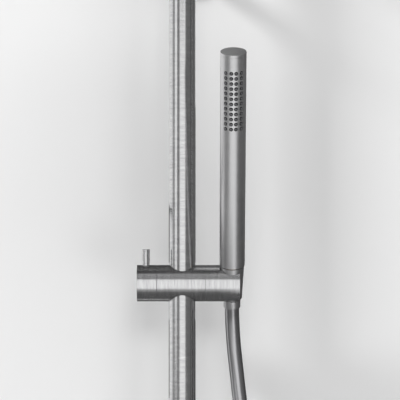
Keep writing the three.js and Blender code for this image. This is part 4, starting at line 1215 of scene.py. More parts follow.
@dataclass
class WallBracket(Assembly):
    """The upper bracket: a plate screwed to the wall, a cover flange, a post and a clamp round the riser."""

    flange_wall: float = 1.4 * MM
    flange_edge: float = 0.55 * MM
    post_edge: float = 0.5 * MM
    stud_length: float = 4.5 * MM
    stud_radius: float = 4 * MM
    clamp_edge: float = 1.0 * MM
    thread_pitch: float = 2.6 * MM
    thread_depth: float = 0.5 * MM
    head_rim: float = 0.2 * MM
    recess_depth: float = 1.6 * MM
    recess_reach: float = 0.62
    recess_width: float = 0.9 * MM
    key_share: float = 0.5
    key_depth: float = 1.4 * MM
    grub_edge: float = 0.25 * MM

    def build(self) -> None:
        """Builds the bracket's pieces."""
        self._flange()
        self._post()
        self._clamp()
        self._plate()
        for node in WALL_SCREWS:
            self._wall_screw(node)
        self._key_screw("bracket_grub_screw", Axis(self._grub_axis().point, -Z_AXIS, X_AXIS))
        self._key_screw("bracket_clamp_screw", level(self.column.riser_axis.point))

    def _screw_axis(self, node: str) -> Axis:
        """The axis of one wall screw."""
        return inward(Z_AXIS * self.column.centre(node).z)

    def _grub_axis(self) -> Axis:
        """The axis of the grub screw under the post, upwards."""
        return upright(Y_AXIS * self.column.centre("bracket_grub_screw").y)

    def _flange(self) -> None:
        """The cover flange that hides the plate."""
        span, hole = self.span("bracket_flange"), self.bore("bracket_flange")
        inner, floor = span.radius - self.flange_wall, span.low + self.flange_wall
        outline = [(hole, span.low), (span.radius, span.low), (span.radius, span.high), (inner, span.high)]
        outline += [(inner, floor), (hole, floor)]
        self.piece("bracket_flange", turned(outline, self.flange_edge, closed=True))

    def _post(self) -> None:
        """The post, bored for the plate's boss at one end and studded at the other."""
        span = self.span("bracket_post")
        bore, shoulder = self.span("bracket_wall_plate").low - CLEARANCE, span.low + self.stud_length
        socket = self.column.narrowest_at("bracket_post", self.axis, span.high)
        outline = [(0, span.low), (self.stud_radius, span.low), (self.stud_radius, shoulder)]
        outline += [(span.radius, shoulder), (span.radius, span.high), (socket, span.high)]
        outline += [(socket, bore), (0, bore)]
        grub = self._grub_axis()
        hole = self.span("bracket_grub_screw", grub).radius + CLEARANCE
        post = self.axis.place(turned(outline, self.post_edge))
        self.worked_piece("bracket_post", post, bored(grub, hole, -2 * span.radius, 0))

    def _clamp(self) -> None:
        """The ring round the riser, with the boss that the post's stud goes into."""
        riser, side = self.column.riser_axis, level(self.column.riser_axis.point)
        span, bore = self.span("bracket_clamp", riser), self.bore("bracket_clamp", riser)
        half, post = self.column.size("bracket_clamp").x / 2, self.span("bracket_post")
        boss = rod(post.radius, riser.point.y, self.span("bracket_clamp").high, self.post_edge)
        screw = self.span("bracket_clamp_screw", side).radius + CLEARANCE
        self.worked_piece(
            "bracket_clamp", riser.place(rod(half, span.low, span.high, self.clamp_edge)),
            (Cut.ADD, self.axis.place(boss)),
            bored(riser, bore, span.low - half, span.high + half, TURN_STEPS),
            bored(self.axis, self.stud_radius + CLEARANCE, post.low - CLEARANCE, 0),
            bored(side, screw, bore / 2, 2 * half), axis=riser,
        )

    def _plate(self) -> None:
        """The plate behind the flange, countersunk for its screws."""
        span, post = self.span("bracket_wall_plate"), self.span("bracket_post")
        head = self.span(WALL_SCREWS[0], self._screw_axis(WALL_SCREWS[0]))
        boss = self.column.narrowest_at("bracket_post", self.axis, post.high) - CLEARANCE
        face = head.low - CLEARANCE
        outline = [(0, span.low), (boss, span.low), (boss, face), (span.radius, face)]
        outline += [(span.radius, 0), (0, 0)]
        wide, narrow = head.radius + CLEARANCE, head.radius / 2 + CLEARANCE
        cone = [(0, face - wide), (wide, face - wide), (wide, face), (narrow, face + wide - narrow)]
        cone += [(narrow, wide), (0, wide)]
        axes = [self._screw_axis(node) for node in WALL_SCREWS]
        sinks = [(Cut.AWAY, axis.place(turned(cone, 0, SMALL_STEPS))) for axis in axes]
        self.worked_piece("bracket_wall_plate", self.axis.place(turned(outline)), *sinks)

    def _wall_screw(self, node: str) -> None:
        """A countersunk screw with a cross recess and a coarse thread.

        Args:
            node: the screw's node.
        """
        axis = self._screw_axis(node)
        span = self.span(node, axis)
        shank, rim = span.radius / 2, span.low + self.head_rim
        neck, tip = span.low + span.radius - shank, span.high - 2 * shank
        outline = [(0, span.low), (span.radius, span.low), (span.radius, rim), (shank, neck)]
        outline += ribs(shank, self.thread_depth, neck + self.thread_pitch, tip, self.thread_pitch)
        outline.append((0, span.high))
        reach, half = span.radius * self.recess_reach, self.recess_width / 2
        proud, deep = span.low - OVERCUT, span.low + self.recess_depth
        sides = ((reach, half), (half, reach))
        arms = [block(Vector((-x, -y, proud)), Vector((x, y, deep))) for x, y in sides]
        screw = worked(turned(outline, 0, SMALL_STEPS), *((Cut.AWAY, arm) for arm in arms))
        self.piece(node, screw, axis)

    def _key_screw(self, node: str, axis: Axis) -> None:
        """A headless screw with a hexagonal socket in its outer end.

        Args:
            node: the screw's node.
            axis: its axis, towards its outer end.
        """
        span = self.span(node, axis)
        body = rod(span.radius, span.low, span.high, self.grub_edge, SMALL_STEPS)
        socket = prism(span.radius * self.key_share, span.high - self.key_depth, span.high + OVERCUT, HEXAGON)
        self.piece(node, worked(body, (Cut.AWAY, socket)), axis)


@dataclass
class Riser(Assembly):
    """The riser tube and the nut, seal and collar at its top."""

    wall: float = 1.5 * MM
    edge: float = 0.35 * MM
    nut_edge: float = 0.2 * MM
    seal_edge: float = 0.5 * MM
    collar_edge: float = 0.8 * MM

    def build(self) -> None:
        """Builds the riser and its top joint."""
        nodes = ("riser_tube", "riser_top_nut", "arm_seal", "arm_swivel_collar")
        tube, nut, seal, collar = (self.span(node) for node in nodes)
        shape = ring(tube.radius, tube.radius - self.wall, tube.low, tube.high, self.edge)
        self.piece("riser_tube", shape, finish=DRAWN_STEEL)

        fit, arm_fit = tube.radius + CLEARANCE, self.bore("arm_swivel_collar")
        shoulder = tube.high + CLEARANCE
        low, high, deep = seal.low - CLEARANCE, seal.high + CLEARANCE, seal.radius + CLEARANCE
        outline = [(fit, nut.low), (nut.radius, nut.low), (nut.radius, nut.high), (arm_fit, nut.high)]
        outline += [(arm_fit, high), (deep, high), (deep, low), (arm_fit, low)]
        outline += [(arm_fit, shoulder), (fit, shoulder)]
        self.piece("riser_top_nut", turned(outline, self.nut_edge, closed=True))
        self.piece("arm_seal", ring(seal.radius, arm_fit, seal.low, seal.high, self.seal_edge, SMALL_STEPS))
        shape = ring(collar.radius, arm_fit, collar.low, collar.high, self.collar_edge)
        self.piece("arm_swivel_collar", shape)


# ---- Overhead arm and rain head --------------------------


@dataclass
class OverheadArm(Assembly):
    """The arm that carries the rain head, bent up out of the riser and down again at its tip."""

    wall: float = 1.4 * MM
    foot_bend: float = 45 * MM
    tip_bend: float = 35 * MM
    bend_steps: int = 24
    sides: int = 72
    neck_radius: float = 6 * MM
    ball_edge: float = 0.15 * MM

    def build(self) -> None:
        """Builds the arm and the ball at its tip."""
        foot = self.column.riser_axis.point.y
        low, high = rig.box("shower_arm")
        radius = self.column.size("shower_arm").x / 2
        run = high.z - radius
        path = self._path(Vector((0, foot, low.z)), Vector((0, low.y + radius, self._tip())), run)
        arm = swept(Path.of(path), radius, self.sides, bore=radius - self.wall)
        self.shop.stand_in("shower_arm", arm, Axis(Vector((0, foot, run)), Y_AXIS, Z_AXIS))
        self._ball()

    def _tip(self) -> float:
        """The height of the arm's open end."""
        across = self.column.size("shower_arm").x
        corners = (corner.co for corner in self.column.frame["nodes"]["shower_arm"].data.vertices)
        return min(corner.z for corner in corners if abs(corner.y - self.axis.point.y) < across)

    def _path(self, foot: Vector, tip: Vector, run: float) -> list[Vector]:
        """The arm's centreline.

        Args:
            foot: where it starts, in the riser.
            tip: its open end.
            run: the height of its level stretch.

        Returns:
            Its points, from the foot to the tip.
        """
        points = [foot]
        bends = ((self.foot_bend, foot.y - self.foot_bend, 0), (self.tip_bend, tip.y + self.tip_bend, 1))
        for bend, place, quarter in bends:
            centre = Vector((0, place, run - bend))
            for step in range(self.bend_steps + 1):
                angle = math.pi / 2 * (quarter + step / self.bend_steps)
                points.append(centre + bend * Vector((0, math.cos(angle), math.sin(angle))))
        return [*points, tip]

    def _ball(self) -> None:
        """The ball joint's ball, with the socket that the arm's tip goes into."""
        span, bore = self.span("arm_ball"), self.bore("arm_ball")
        ball = math.hypot(bore, span.low)
        neck, foot = math.asin(self.neck_radius / ball), math.pi - math.asin(bore / ball)
        outline = arc_outline(ball, foot, neck, BALL_STEPS)
        base = self.column.widest_from("arm_ball", self.axis)
        fit = self.bore("arm_swivel_collar", self.column.riser_axis)
        floor = self._tip() - self.axis.point.z - CLEARANCE
        outline += [(self.neck_radius, base), (span.radius, base), (span.radius, span.high), (fit, span.high)]
        outline += [(fit, floor), (bore, floor)]
        self.piece("arm_ball", turned(outline, self.ball_edge, closed=True))


@dataclass
class RainHead(Assembly):
    """The tilting rain head: collar nut, shell, nozzle mat and faceplate."""

    shell: float = 2 * MM
    shell_edge: float = 0.35 * MM
    crown_margin: float = 2 * MM
    crown_rise: float = 2.6 * MM
    crown_shares: tuple[float, ...] = (0.35, 0.7, 0.93)
    crown_power: float = 1.6
    rim_edge: float = 1.1 * MM
    collar_edge: float = 0.5 * MM
    hub_recess: float = 8 * MM
    hub_bore: float = 4 * MM
    nozzle_rings: int = 4
    nozzle_pitch: float = 25.5 * MM
    nozzle_radius: float = 1.9 * MM
    nozzle_root: float = 0.4 * MM
    tip_share: float = 0.72
    jet_radius: float = 0.6 * MM
    jet_depth: float = 1 * MM
    jet_taper: float = 0.8
    ball_fit: float = 0.35 * MM
    seat_wall: float = 1.75 * MM
    seat_from: float = math.radians(148)
    seat_to: float = math.radians(112)
    lip_low: float = 1 * MM

    @cached_property
    def seat_inner(self) -> float:
        """The radius of the seat's inner face, a little more than the ball's."""
        return math.hypot(self.bore("arm_ball"), self.span("arm_ball").low) + self.ball_fit

    @cached_property
    def cavity(self) -> float:
        """The radius of the hollow that the seat lies in."""
        return self.seat_inner + self.seat_wall + self.ball_fit

    def build(self) -> None:
        """Builds the head's pieces."""
        self._collar()
        self._seat()
        self._shell()
        self._mat()
        self._faceplate()

    def _spots(self) -> list[Matrix]:
        """Where the nozzles stand, in rings of six, twelve and so on round the middle one."""
        spots = [Matrix()]
        for number in range(1, self.nozzle_rings + 1):
            for step in range(HEXAGON * number):
                angle = 2 * math.pi * step / (HEXAGON * number)
                spot = number * self.nozzle_pitch * Vector((math.cos(angle), math.sin(angle), 0))
                spots.append(Matrix.Translation(spot))
        return spots

    def _collar(self) -> None:
        """The nut whose lip holds the ball."""
        span = self.span("head_collar_nut")
        top, foot = (math.acos(height / self.seat_inner) for height in (span.high, self.lip_low))
        outline = arc_outline(self.seat_inner, top, foot, BALL_STEPS // 2)
        outline += [(self.cavity, self.lip_low), (self.cavity, span.low), (span.radius, span.low)]
        outline.append((span.radius, span.high))
        self.piece("head_collar_nut", turned(outline, self.collar_edge, closed=True))

    def _seat(self) -> None:
        """The plastic cup that the ball turns in."""
        outline = arc_outline(self.seat_inner, self.seat_from, self.seat_to, BALL_STEPS)
        outline += arc_outline(self.seat_inner + self.seat_wall, self.seat_to, self.seat_from, BALL_STEPS)
        self.piece("head_ball_seat", turned(outline, 0, closed=True))

    def _shell(self) -> None:
        """The thin shell with its low crown and hub."""
        span, collar = self.span("rain_head_body"), self.span("head_collar_nut")
        hub, top = self.cavity - CLEARANCE, collar.low - CLEARANCE
        rim, roof, inner = top - self.crown_rise, top - self.shell, span.radius - self.shell
        flat = collar.radius + self.crown_margin
        ends = [math.pi - math.asin(radius / self.cavity) for radius in (self.hub_bore, self.hub_recess)]
        outline = arc_outline(self.cavity, *ends, BALL_STEPS // 2)
        outline += [(hub, outline[-1][1]), (hub, top), (flat, top)]
        for share in self.crown_shares:
            drop = self.crown_rise * share ** self.crown_power
            outline.append((flat + (span.radius - flat) * share, top - drop))
        outline += [(span.radius - self.rim_edge, rim), (span.radius, rim - self.rim_edge)]
        outline += [(span.radius, span.low), (inner, span.low), (inner, rim - self.shell)]
        outline += [(collar.radius, roof), (self.hub_bore, roof)]
        self.piece("rain_head_body", turned(outline, self.shell_edge, FINE_STEPS, closed=True))

    def _mat(self) -> None:
        """The silicone mat whose soft nozzles stand through the faceplate."""
        span, plate = self.span("rain_nozzle_mat"), self.span("rain_faceplate")
        base = plate.high + CLEARANCE
        root, jet = base + self.nozzle_root, span.low + self.jet_depth
        outline = [(0, root), (self.nozzle_radius, root), (self.nozzle_radius, plate.low)]
        outline += [(self.nozzle_radius * self.tip_share, span.low), (self.jet_radius, span.low)]
        outline += [(self.jet_radius * self.jet_taper, jet), (0, jet)]
        nozzles = [placed(turned(outline, NUB_EDGE, NUB_STEPS), spot) for spot in self._spots()]
        self.piece("rain_nozzle_mat", merged([rod(span.radius, base, span.high), *nozzles]))

    def _faceplate(self) -> None:
        """The brushed faceplate with a hole for each nozzle."""
        span = self.span("rain_faceplate")
        hole = self.nozzle_radius + CLEARANCE
        low, high = span.low - hole, span.high + hole
        drills = [placed(rod(hole, low, high, 0, HOLE_STEPS), spot) for spot in self._spots()]
        plate = rod(span.radius, span.low, span.high, steps=FINE_STEPS)
        self.piece("rain_faceplate", worked(plate, (Cut.AWAY, merged(drills))))


# ---- Mixer -----------------------------------------------


@dataclass
class Mixer(Assembly):
    """The thermostatic bar, its two handles, the stop ring and button, and the union nut under the riser."""

    bar_bore: float = 15 * MM
    bar_edge: float = 0.6 * MM
    boss_radius: float = 13 * MM
    boss_bore: float = 9 * MM
    boss_edge: float = 0.4 * MM
    spigot_radius: float = 10 * MM
    spigot_flange: float = 12 * MM
    spigot_edge: float = 0.2 * MM
    flange_length: float = 3 * MM
    waterway: float = 6.5 * MM
    outlet_boss: float = 14.5 * MM
    handle_wall: float = 7 * MM
    handle_edge: float = 0.7 * MM
    cavity_depth: float = 18.7 * MM
    cartridge_inset: float = 1 * MM
    spindle_radius: float = 4.5 * MM
    stop_edge: float = 0.5 * MM
    pin_edge: float = 0.6 * MM
    button_edge: float = 0.35 * MM
    dish_share: float = 0.6
    dish_depths: tuple[float, float] = (0.3 * MM, 0.4 * MM)
    index_width: float = 0.5 * MM
    index_depth: float = 0.3 * MM
    index_length: float = 5 * MM
    nut_edge: float = 0.35 * MM

    def build(self) -> None:
        """Builds the mixer's pieces."""
        other = Axis(self.axis.point, -X_AXIS, Z_AXIS)
        self._body()
        self._cartridge("thermostat_cartridge", self.axis)
        self._cartridge("flow_cartridge", other)
        span = self.span("temp_stop_ring")
        stop = ring(span.radius, span.radius - self.handle_wall, span.low, span.high, self.stop_edge)
        self.piece("temp_stop_ring", stop)
        self._handle("temp_handle", "thermostat_cartridge", self.axis, self._button())
        self._handle("flow_handle", "flow_cartridge", other)
        self._riser_nut()

    def _body(self) -> None:
        """The bar with its riser boss, outlet boss and two inlet spigots."""
        column, centre = self.column, self.axis.point
        span, radius = self.span("mixer_body"), self.span("temp_stop_ring").radius
        low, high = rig.box("mixer_body")
        end = high.y - centre.y
        riser, outlet = (axis.moved(Z_AXIS * centre.z) for axis in (column.riser_axis, column.outlet_axis))
        inlets = [column.inlet_axis(side).moved(Y_AXIS * centre.y) for side in Side]
        start, neck = self.bar_bore + CLEARANCE, end - self.flange_length
        outline = [(0, start), (self.spigot_radius, start), (self.spigot_radius, neck)]
        outline += [(self.spigot_flange, neck), (self.spigot_flange, end), (0, end)]
        top = self.span("hose_outlet_nipple", outlet).high
        shank = column.widest_at("hose_outlet_nipple", outlet, top) + CLEARANCE
        self.worked_piece(
            "mixer_body", self.axis.place(rod(radius, span.low, span.high, self.bar_edge, FINE_STEPS)),
            (Cut.ADD, riser.place(rod(self.boss_radius, start, high.z - centre.z, self.boss_edge))),
            (Cut.ADD, outlet.place(rod(self.outlet_boss, low.z - centre.z, -start))),
            *((Cut.ADD, inlet.place(turned(outline, self.spigot_edge))) for inlet in inlets),
            *(bored(inlet, self.waterway, 0, 2 * end) for inlet in inlets),
            bored(self.axis, self.bar_bore, 2 * span.low, 2 * span.high, TURN_STEPS),
            bored(riser, self.boss_bore, 0, 2 * radius),
            bored(outlet, shank, -2 * radius, 0),
        )

    def _cartridge(self, node: str, axis: Axis) -> None:
        """A cartridge and its spindle.

        Args:
            node: the cartridge's node.
            axis: the bar's axis, towards its handle.
        """
        span = self.span(node, axis)
        face = self.span("mixer_body", axis).high - self.cartridge_inset
        outline = [(0, span.low), (span.radius, span.low), (span.radius, face), (self.spindle_radius, face)]
        outline += [(self.spindle_radius, span.high), (0, span.high)]
        self.piece(node, turned(outline, steps=SMALL_STEPS), axis)

    def _button(self) -> Step:
        """The stop button on the temperature handle.

        Returns:
            The hole that it sits in.
        """
        middle = self.column.centre("temp_stop_button")
        axis = Axis(Vector((middle.x, 0, middle.z)), -Y_AXIS, Z_AXIS)
        span = self.span("temp_stop_button", axis)
        dish, (slope, floor) = span.radius * self.dish_share, self.dish_depths
        outline = [(0, span.low), (span.radius, span.low), (span.radius, span.high), (dish, span.high)]
        outline += [(dish * self.dish_share, span.high - slope), (0, span.high - floor)]
        self.piece("temp_stop_button", turned(outline, self.button_edge, SMALL_STEPS), axis)
        return bored(axis, span.radius + CLEARANCE, 0, 1)

    def _handle(self, node: str, cartridge: str, axis: Axis, *holes: Step) -> None:
        """A hollow handle with a lever pin pressed into it.

        Args:
            node: the handle's node.
            cartridge: the node that it turns.
            axis: the bar's axis, towards the handle.
            holes: what else is cut into it.
        """
        span = self.span(node, axis)
        cavity, inner = span.low + self.cavity_depth, span.radius - self.handle_wall
        end, fit = self.span(cartridge, axis).high + CLEARANCE, self.spindle_radius + CLEARANCE
        outline = [(0, end), (fit, end), (fit, cavity), (inner, cavity), (inner, span.low)]
        outline += [(span.radius, span.low), (span.radius, span.high), (0, span.high)]
        pin_axis = self.column.pin_axis(f"{node}_pin", axis.point.z)
        pin = self.span(f"{node}_pin", pin_axis)
        self.worked_piece(
            node, axis.place(turned(outline, self.handle_edge, FINE_STEPS)),
            bored(pin_axis, pin.radius + CLEARANCE, pin.low - CLEARANCE, 2 * span.radius, TURN_STEPS),
            *holes, (Cut.AWAY, self._index_line(node, axis)), axis=axis,
        )
        lever = rod(pin.radius, pin.low, pin.high, self.pin_edge, SMALL_STEPS)
        self.piece(f"{node}_pin", lever, pin_axis)

    def _index_line(self, node: str, axis: Axis) -> Shape:
        """The short line that marks a handle's place.

        Args:
            node: the handle's node.
            axis: the bar's axis, towards the handle.

        Returns:
            What is cut from its front, at its inner rim.
        """
        front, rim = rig.box(node)[0].y, self.span(node, axis).low
        reaches = (-OVERCUT, self.index_length)
        ends = sorted(axis.point.x + axis.direction.x * (rim + reach) for reach in reaches)
        half = self.index_width / 2
        low = Vector((ends[0], front - OVERCUT, axis.point.z - half))
        return block(low, Vector((ends[1], front + self.index_depth, axis.point.z + half)))

    def _riser_nut(self) -> None:
        """The union nut that holds the riser on the mixer."""
        axis = self.column.riser_axis
        nodes = ("riser_union_nut", "riser_tube", "riser_union_washer")
        span, tube, washer = (self.span(node, axis) for node in nodes)
        inner, fit = self.boss_radius + CLEARANCE, tube.radius + CLEARANCE
        outline = [(inner, span.low), (span.radius, span.low), (span.radius, span.high), (fit, span.high)]
        outline += [(fit, washer.low), (inner, washer.low)]
        self.piece("riser_union_nut", turned(outline, self.nut_edge, closed=True), axis)


@dataclass
class InletUnion(Assembly):
    """One inlet: rose, eccentric union and hexagonal union nut."""

    side: Side
    rose_wall: float = 1.4 * MM
    rose_rim: float = 4 * MM
    rose_face: float = 9 * MM
    rose_edge: float = 0.4 * MM
    thread_pitch: float = 1.8 * MM
    thread_depth: float = 0.7 * MM
    lead_in: float = 1 * MM
    waterway: float = 6.5 * MM
    web_radius: float = 14.6 * MM
    web_thickness: float = 4 * MM
    front_thread: float = 15.4 * MM
    wall_thread: float = 10.2 * MM
    offset: float = 8 * MM
    corner_slope: float = 1.5
    lip: float = 3.7 * MM
    nut_edge: float = 0.25 * MM

    def build(self) -> None:
        """Builds the inlet's pieces."""
        self._rose()
        self._union()
        self._nut()

    def _node(self, kind: str) -> str:
        """The name of this inlet's node of one kind."""
        return f"{kind}_{self.side.value}"

    def _rose(self) -> None:
        """The cover plate on the wall."""
        node = self._node("inlet_rose")
        span, hole = self.span(node), self.bore(node)
        shoulder, slope = hole + self.rose_face, span.high - self.rose_rim
        inner, floor, half = span.radius - self.rose_wall, span.low + self.rose_wall, self.rose_wall / 2
        outline = [(hole, span.low), (shoulder, span.low), (span.radius, slope), (span.radius, span.high)]
        outline += [(inner, span.high), (inner, slope + half), (shoulder - half, floor), (hole, floor)]
        self.piece(node, turned(outline, self.rose_edge, closed=True))

    def _union(self) -> None:
        """The eccentric union: two threads, side by side, on one web."""
        node, lead = self._node("eccentric_union"), self.lead_in
        depth, pitch = self.thread_depth, self.thread_pitch
        low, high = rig.box(node)
        radius = self.column.widest_at(node, self.axis, low.y)
        wall = self.axis.moved(-Z_AXIS * self.offset)
        web = low.y + self.front_thread + lead
        front = [(0, low.y), *ribs(radius, depth, low.y + lead, web - lead, pitch)]
        front += [(radius - depth, web + lead), (0, web + lead)]
        back = [(0, web), *ribs(self.wall_thread, depth, web + lead, high.y, pitch), (0, high.y)]
        middle, half = self.axis.moved((wall.point - self.axis.point) / 2), self.web_thickness / 2
        self.worked_piece(
            node, self.axis.place(turned(front, 0)),
            (Cut.ADD, middle.place(rod(self.web_radius, web - half, web + half))),
            (Cut.ADD, wall.place(turned(back, 0))),
            bored(self.axis, self.waterway, -1, web), bored(wall, self.waterway, web - lead, 1),
        )

    def _nut(self) -> None:
        """The hexagonal union nut, its corners turned back at both ends."""
        node, union = self._node("union_nut"), self._node("eccentric_union")
        span = self.span(node)
        flat, spread = span.radius * math.cos(math.pi / HEXAGON), span.length / 2
        fit = self.column.widest_at(union, self.axis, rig.box(union)[0].y) + CLEARANCE
        widest = flat + spread * self.corner_slope
        barrel = [(0, span.low), (flat, span.low), (widest, span.low + spread)]
        barrel += [(flat, span.high), (0, span.high)]
        nut = worked(
            self.axis.place(prism(span.radius, span.low, span.high, HEXAGON)),
            (Cut.KEEP, self.axis.place(turned(barrel, 0))),
            bored(self.axis, self.bore(node), span.low - self.lip, span.high, TURN_STEPS),
            bored(self.axis, fit, span.low + self.lip, span.high + self.lip, TURN_STEPS),
        )
        self.shop.stand_in(node, eased(nut, self.nut_edge), self.axis)


@dataclass
class HoseOutlet(Assembly):
    """The outlet under the bar: nipple, lower hose nut and the hose's lower ferrule."""

    thread_pitch: float = 1.8 * MM
    thread_depth: float = 0.9 * MM
    thread_end: float = 0.4 * MM
    flange: float = 2.7 * MM
    waterway: float = 6.3 * MM
    nipple_edge: float = 0.15 * MM
    nut_edge: float = 0.25 * MM
    groove: float = 0.45 * MM
    groove_places: tuple[float, float] = (0.72, 0.28)

    def build(self) -> None:
        """Builds the outlet's pieces."""
        self._nipple()
        self._nut()
        collar = self.span("hose_nut_lower").low - CLEARANCE
        self.piece("hose_ferrule_lower", crimped_ferrule(self.span("hose_ferrule_lower"), collar))

    def _thread(self) -> float:
        """The radius of the nipple's thread."""
        return self.column.widest_at("hose_outlet_nipple", self.axis, self.span("hose_outlet_nipple").low)

    def _nipple(self) -> None:
        """The threaded nipple."""
        span, thread = self.span("hose_outlet_nipple"), self._thread()
        shank = self.column.widest_at("hose_outlet_nipple", self.axis, span.high)
        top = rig.box("mixer_body")[0].z - CLEARANCE
        under = top - self.flange
        outline = [(self.waterway, span.high), (shank, span.high), (shank, top), (span.radius, top)]
        outline += [(span.radius, under), (thread - self.thread_depth, under)]
        threads = ribs(thread, self.thread_depth, span.low, under - self.thread_end, self.thread_pitch)
        outline += [*reversed(threads), (self.waterway, span.low)]
        self.piece("hose_outlet_nipple", turned(outline, self.nipple_edge, closed=True))

    def _nut(self) -> None:
        """The lower hose nut, with two fine grooves round it."""
        span, inner = self.span("hose_nut_lower"), self._thread() + CLEARANCE
        floor = self.span("hose_washer_lower").low - CLEARANCE
        outline = [(inner, span.high), (span.radius, span.high)]
        for share in self.groove_places:
            middle = span.low + span.length * share
            outline += [(span.radius, middle + self.groove), (span.radius - self.groove, middle)]
            outline.append((span.radius, middle - self.groove))
        outline += [(span.radius, span.low), (SWIVEL_RADIUS, span.low)]
        outline += [(SWIVEL_RADIUS, floor), (inner, floor)]
        self.piece("hose_nut_lower", turned(outline, self.nut_edge, closed=True))


def crimped_ferrule(span: Span, collar: float) -> Shape:
    """The hose's crimped end: a stem that turns in its nut, and a collar over the hose below it.

    Args:
        span: the ferrule's reach along its axis.
        collar: where the collar meets the nut.

    Returns:
        The ferrule, in its axis's coordinates.
    """
    stem = SWIVEL_RADIUS - CLEARANCE
    outline = [(FERRULE_BORE, span.high), (stem, span.high), (stem, collar), (span.radius, collar)]
    outline += [(span.radius, span.low), (FERRULE_BORE, span.low)]
    return turned(outline, FERRULE_EDGE, closed=True)


# ---- Slider, holder and handset --------------------------


@dataclass
class Slider(Assembly):
    """The slider on the riser: body, liner, clamp knob with its pin, and the holder's pivot."""

    rim: float = 0.15 * MM
    hairline: float = 0.05 * MM
    knob_chamfer: float = 0.4 * MM
    holder_chamfer: float = 0.22 * MM
    knob_reach: float = 0.7 * MM
    pin_edge: float = 0.45 * MM
    shoe_edge: float = 0.4 * MM
    washer_edge: float = 0.15 * MM
    key_share: float = 0.5
    key_depth: float = 2 * MM

    def build(self) -> None:
        """Builds the slider's pieces."""
        self._body()
        self._liner()
        self._knob()
        for node, edge in (("clamp_spindle", EDGE), ("clamp_shoe", self.shoe_edge)):
            span = self.span(node)
            self.piece(node, rod(span.radius, span.low, span.high, edge, SMALL_STEPS))
        self._pivot()

    def _body(self) -> None:
        """The slider's body, bored for the riser, the clamp and the pivot screw."""
        riser = self.column.riser_axis
        span, liner = self.span("slider_body"), self.span("slider_liner", riser)
        shoe, spindle = self.span("clamp_shoe"), self.span("clamp_spindle")
        reach, groove = 2 * span.radius, liner.radius + CLEARANCE
        low = self.span("slider_knob").high + self.knob_reach + self.hairline
        high = self.span("handset_holder").low - self.hairline
        across = riser.moved(Z_AXIS * self.axis.point.z)
        self.worked_piece(
            "slider_body",
            self.axis.place(bar_piece(span.radius, low, high, self.knob_chamfer, self.holder_chamfer)),
            bored(across, self.bore("slider_liner", riser), -reach, reach, TURN_STEPS),
            bored(riser, groove, liner.low - CLEARANCE, liner.high + CLEARANCE, TURN_STEPS),
            bored(self.axis, shoe.radius + CLEARANCE, spindle.high - CLEARANCE, 0),
            bored(self.axis, spindle.radius + CLEARANCE, -reach, 0),
            bored(self.axis, PIVOT_RADIUS + CLEARANCE, 0, reach),
        )

    def _liner(self) -> None:
        """The plastic liner between the slider and the riser."""
        riser = self.column.riser_axis
        span, bore = self.span("slider_liner", riser), self.bore("slider_liner", riser)
        self.piece("slider_liner", ring(span.radius, bore, span.low, span.high), riser)

    def _knob(self) -> None:
        """The clamp knob and the pin that it is turned by."""
        span, spindle = self.span("slider_knob"), self.span("clamp_spindle")
        pin_axis = self.column.pin_axis("slider_knob_pin", self.axis.point.z)
        pin, end = self.span("slider_knob_pin", pin_axis), span.high + self.knob_reach
        self.worked_piece(
            "slider_knob",
            self.axis.place(bar_piece(span.radius, span.low, end, self.rim, self.knob_chamfer)),
            bored(self.axis, spindle.radius + CLEARANCE, spindle.low - CLEARANCE, 0),
            bored(pin_axis, pin.radius + CLEARANCE, pin.low - CLEARANCE, 1, TURN_STEPS),
        )
        self.piece("slider_knob_pin", rod(pin.radius, pin.low, pin.high, self.pin_edge), pin_axis)

    def _pivot(self) -> None:
        """The screw and the friction washer that the holder tilts on."""
        span, washer = self.span("holder_pivot_screw"), self.span("holder_washer")
        head = span.high - PIVOT_HEAD
        outline = [(0, span.low), (PIVOT_RADIUS, span.low), (PIVOT_RADIUS, head), (span.radius, head)]
        outline += [(span.radius, span.high), (0, span.high)]
        key = prism(span.radius * self.key_share, span.high - self.key_depth, span.high + OVERCUT, HEXAGON)
        screw = self.axis.place(turned(outline, steps=SMALL_STEPS))
        self.worked_piece("holder_pivot_screw", screw, (Cut.AWAY, self.axis.place(key)))
        fit = PIVOT_RADIUS + CLEARANCE
        band = ring(washer.radius, fit, washer.low, washer.high, self.washer_edge, SMALL_STEPS)
        self.piece("holder_washer", band)


@dataclass
class Holder(Assembly):
    """The tilting holder: a short round block with a tapered seat, open at its end for the hose."""

    rim: float = 0.1 * MM
    slider_chamfer: float = 0.22 * MM
    slot_half_width: float = 7.4 * MM
    taper_reach: float = 1.3

    def build(self) -> None:
        """Builds the holder."""
        lean = self.column.handset_axis
        nodes = ("handset_holder", "holder_washer", "holder_pivot_screw")
        span, washer, screw = (self.span(node) for node in nodes)
        nut = self.span("hose_nut_upper", lean)
        reach, half = self.taper_reach * span.radius, self.slot_half_width
        foot = self.column.widest_at("hose_nut_upper", lean, nut.low + NUT_CHAMFER)
        slope = (nut.radius - foot) / (nut.length - NUT_CHAMFER)
        fit = [nut.radius - slope * (nut.high - end) + CLEARANCE for end in (-reach, reach)]
        taper = turned([(0, -reach), (fit[0], -reach), (fit[1], reach), (0, reach)], 0)
        slot = block(Vector((0, -half, -reach)), Vector((reach, half, reach)))
        head = screw.high - PIVOT_HEAD - CLEARANCE
        self.worked_piece(
            "handset_holder",
            self.axis.place(bar_piece(span.radius, span.low, span.high, self.slider_chamfer, self.rim)),
            (Cut.AWAY, lean.place(taper)),
            (Cut.AWAY, lean.place(slot)),
            bored(self.axis, screw.radius + CLEARANCE, head, lean.point.x),
            bored(self.axis, PIVOT_RADIUS + CLEARANCE, 0, head + OVERCUT),
            bored(self.axis, washer.radius + CLEARANCE, 0, washer.high + CLEARANCE, TURN_STEPS),
        )


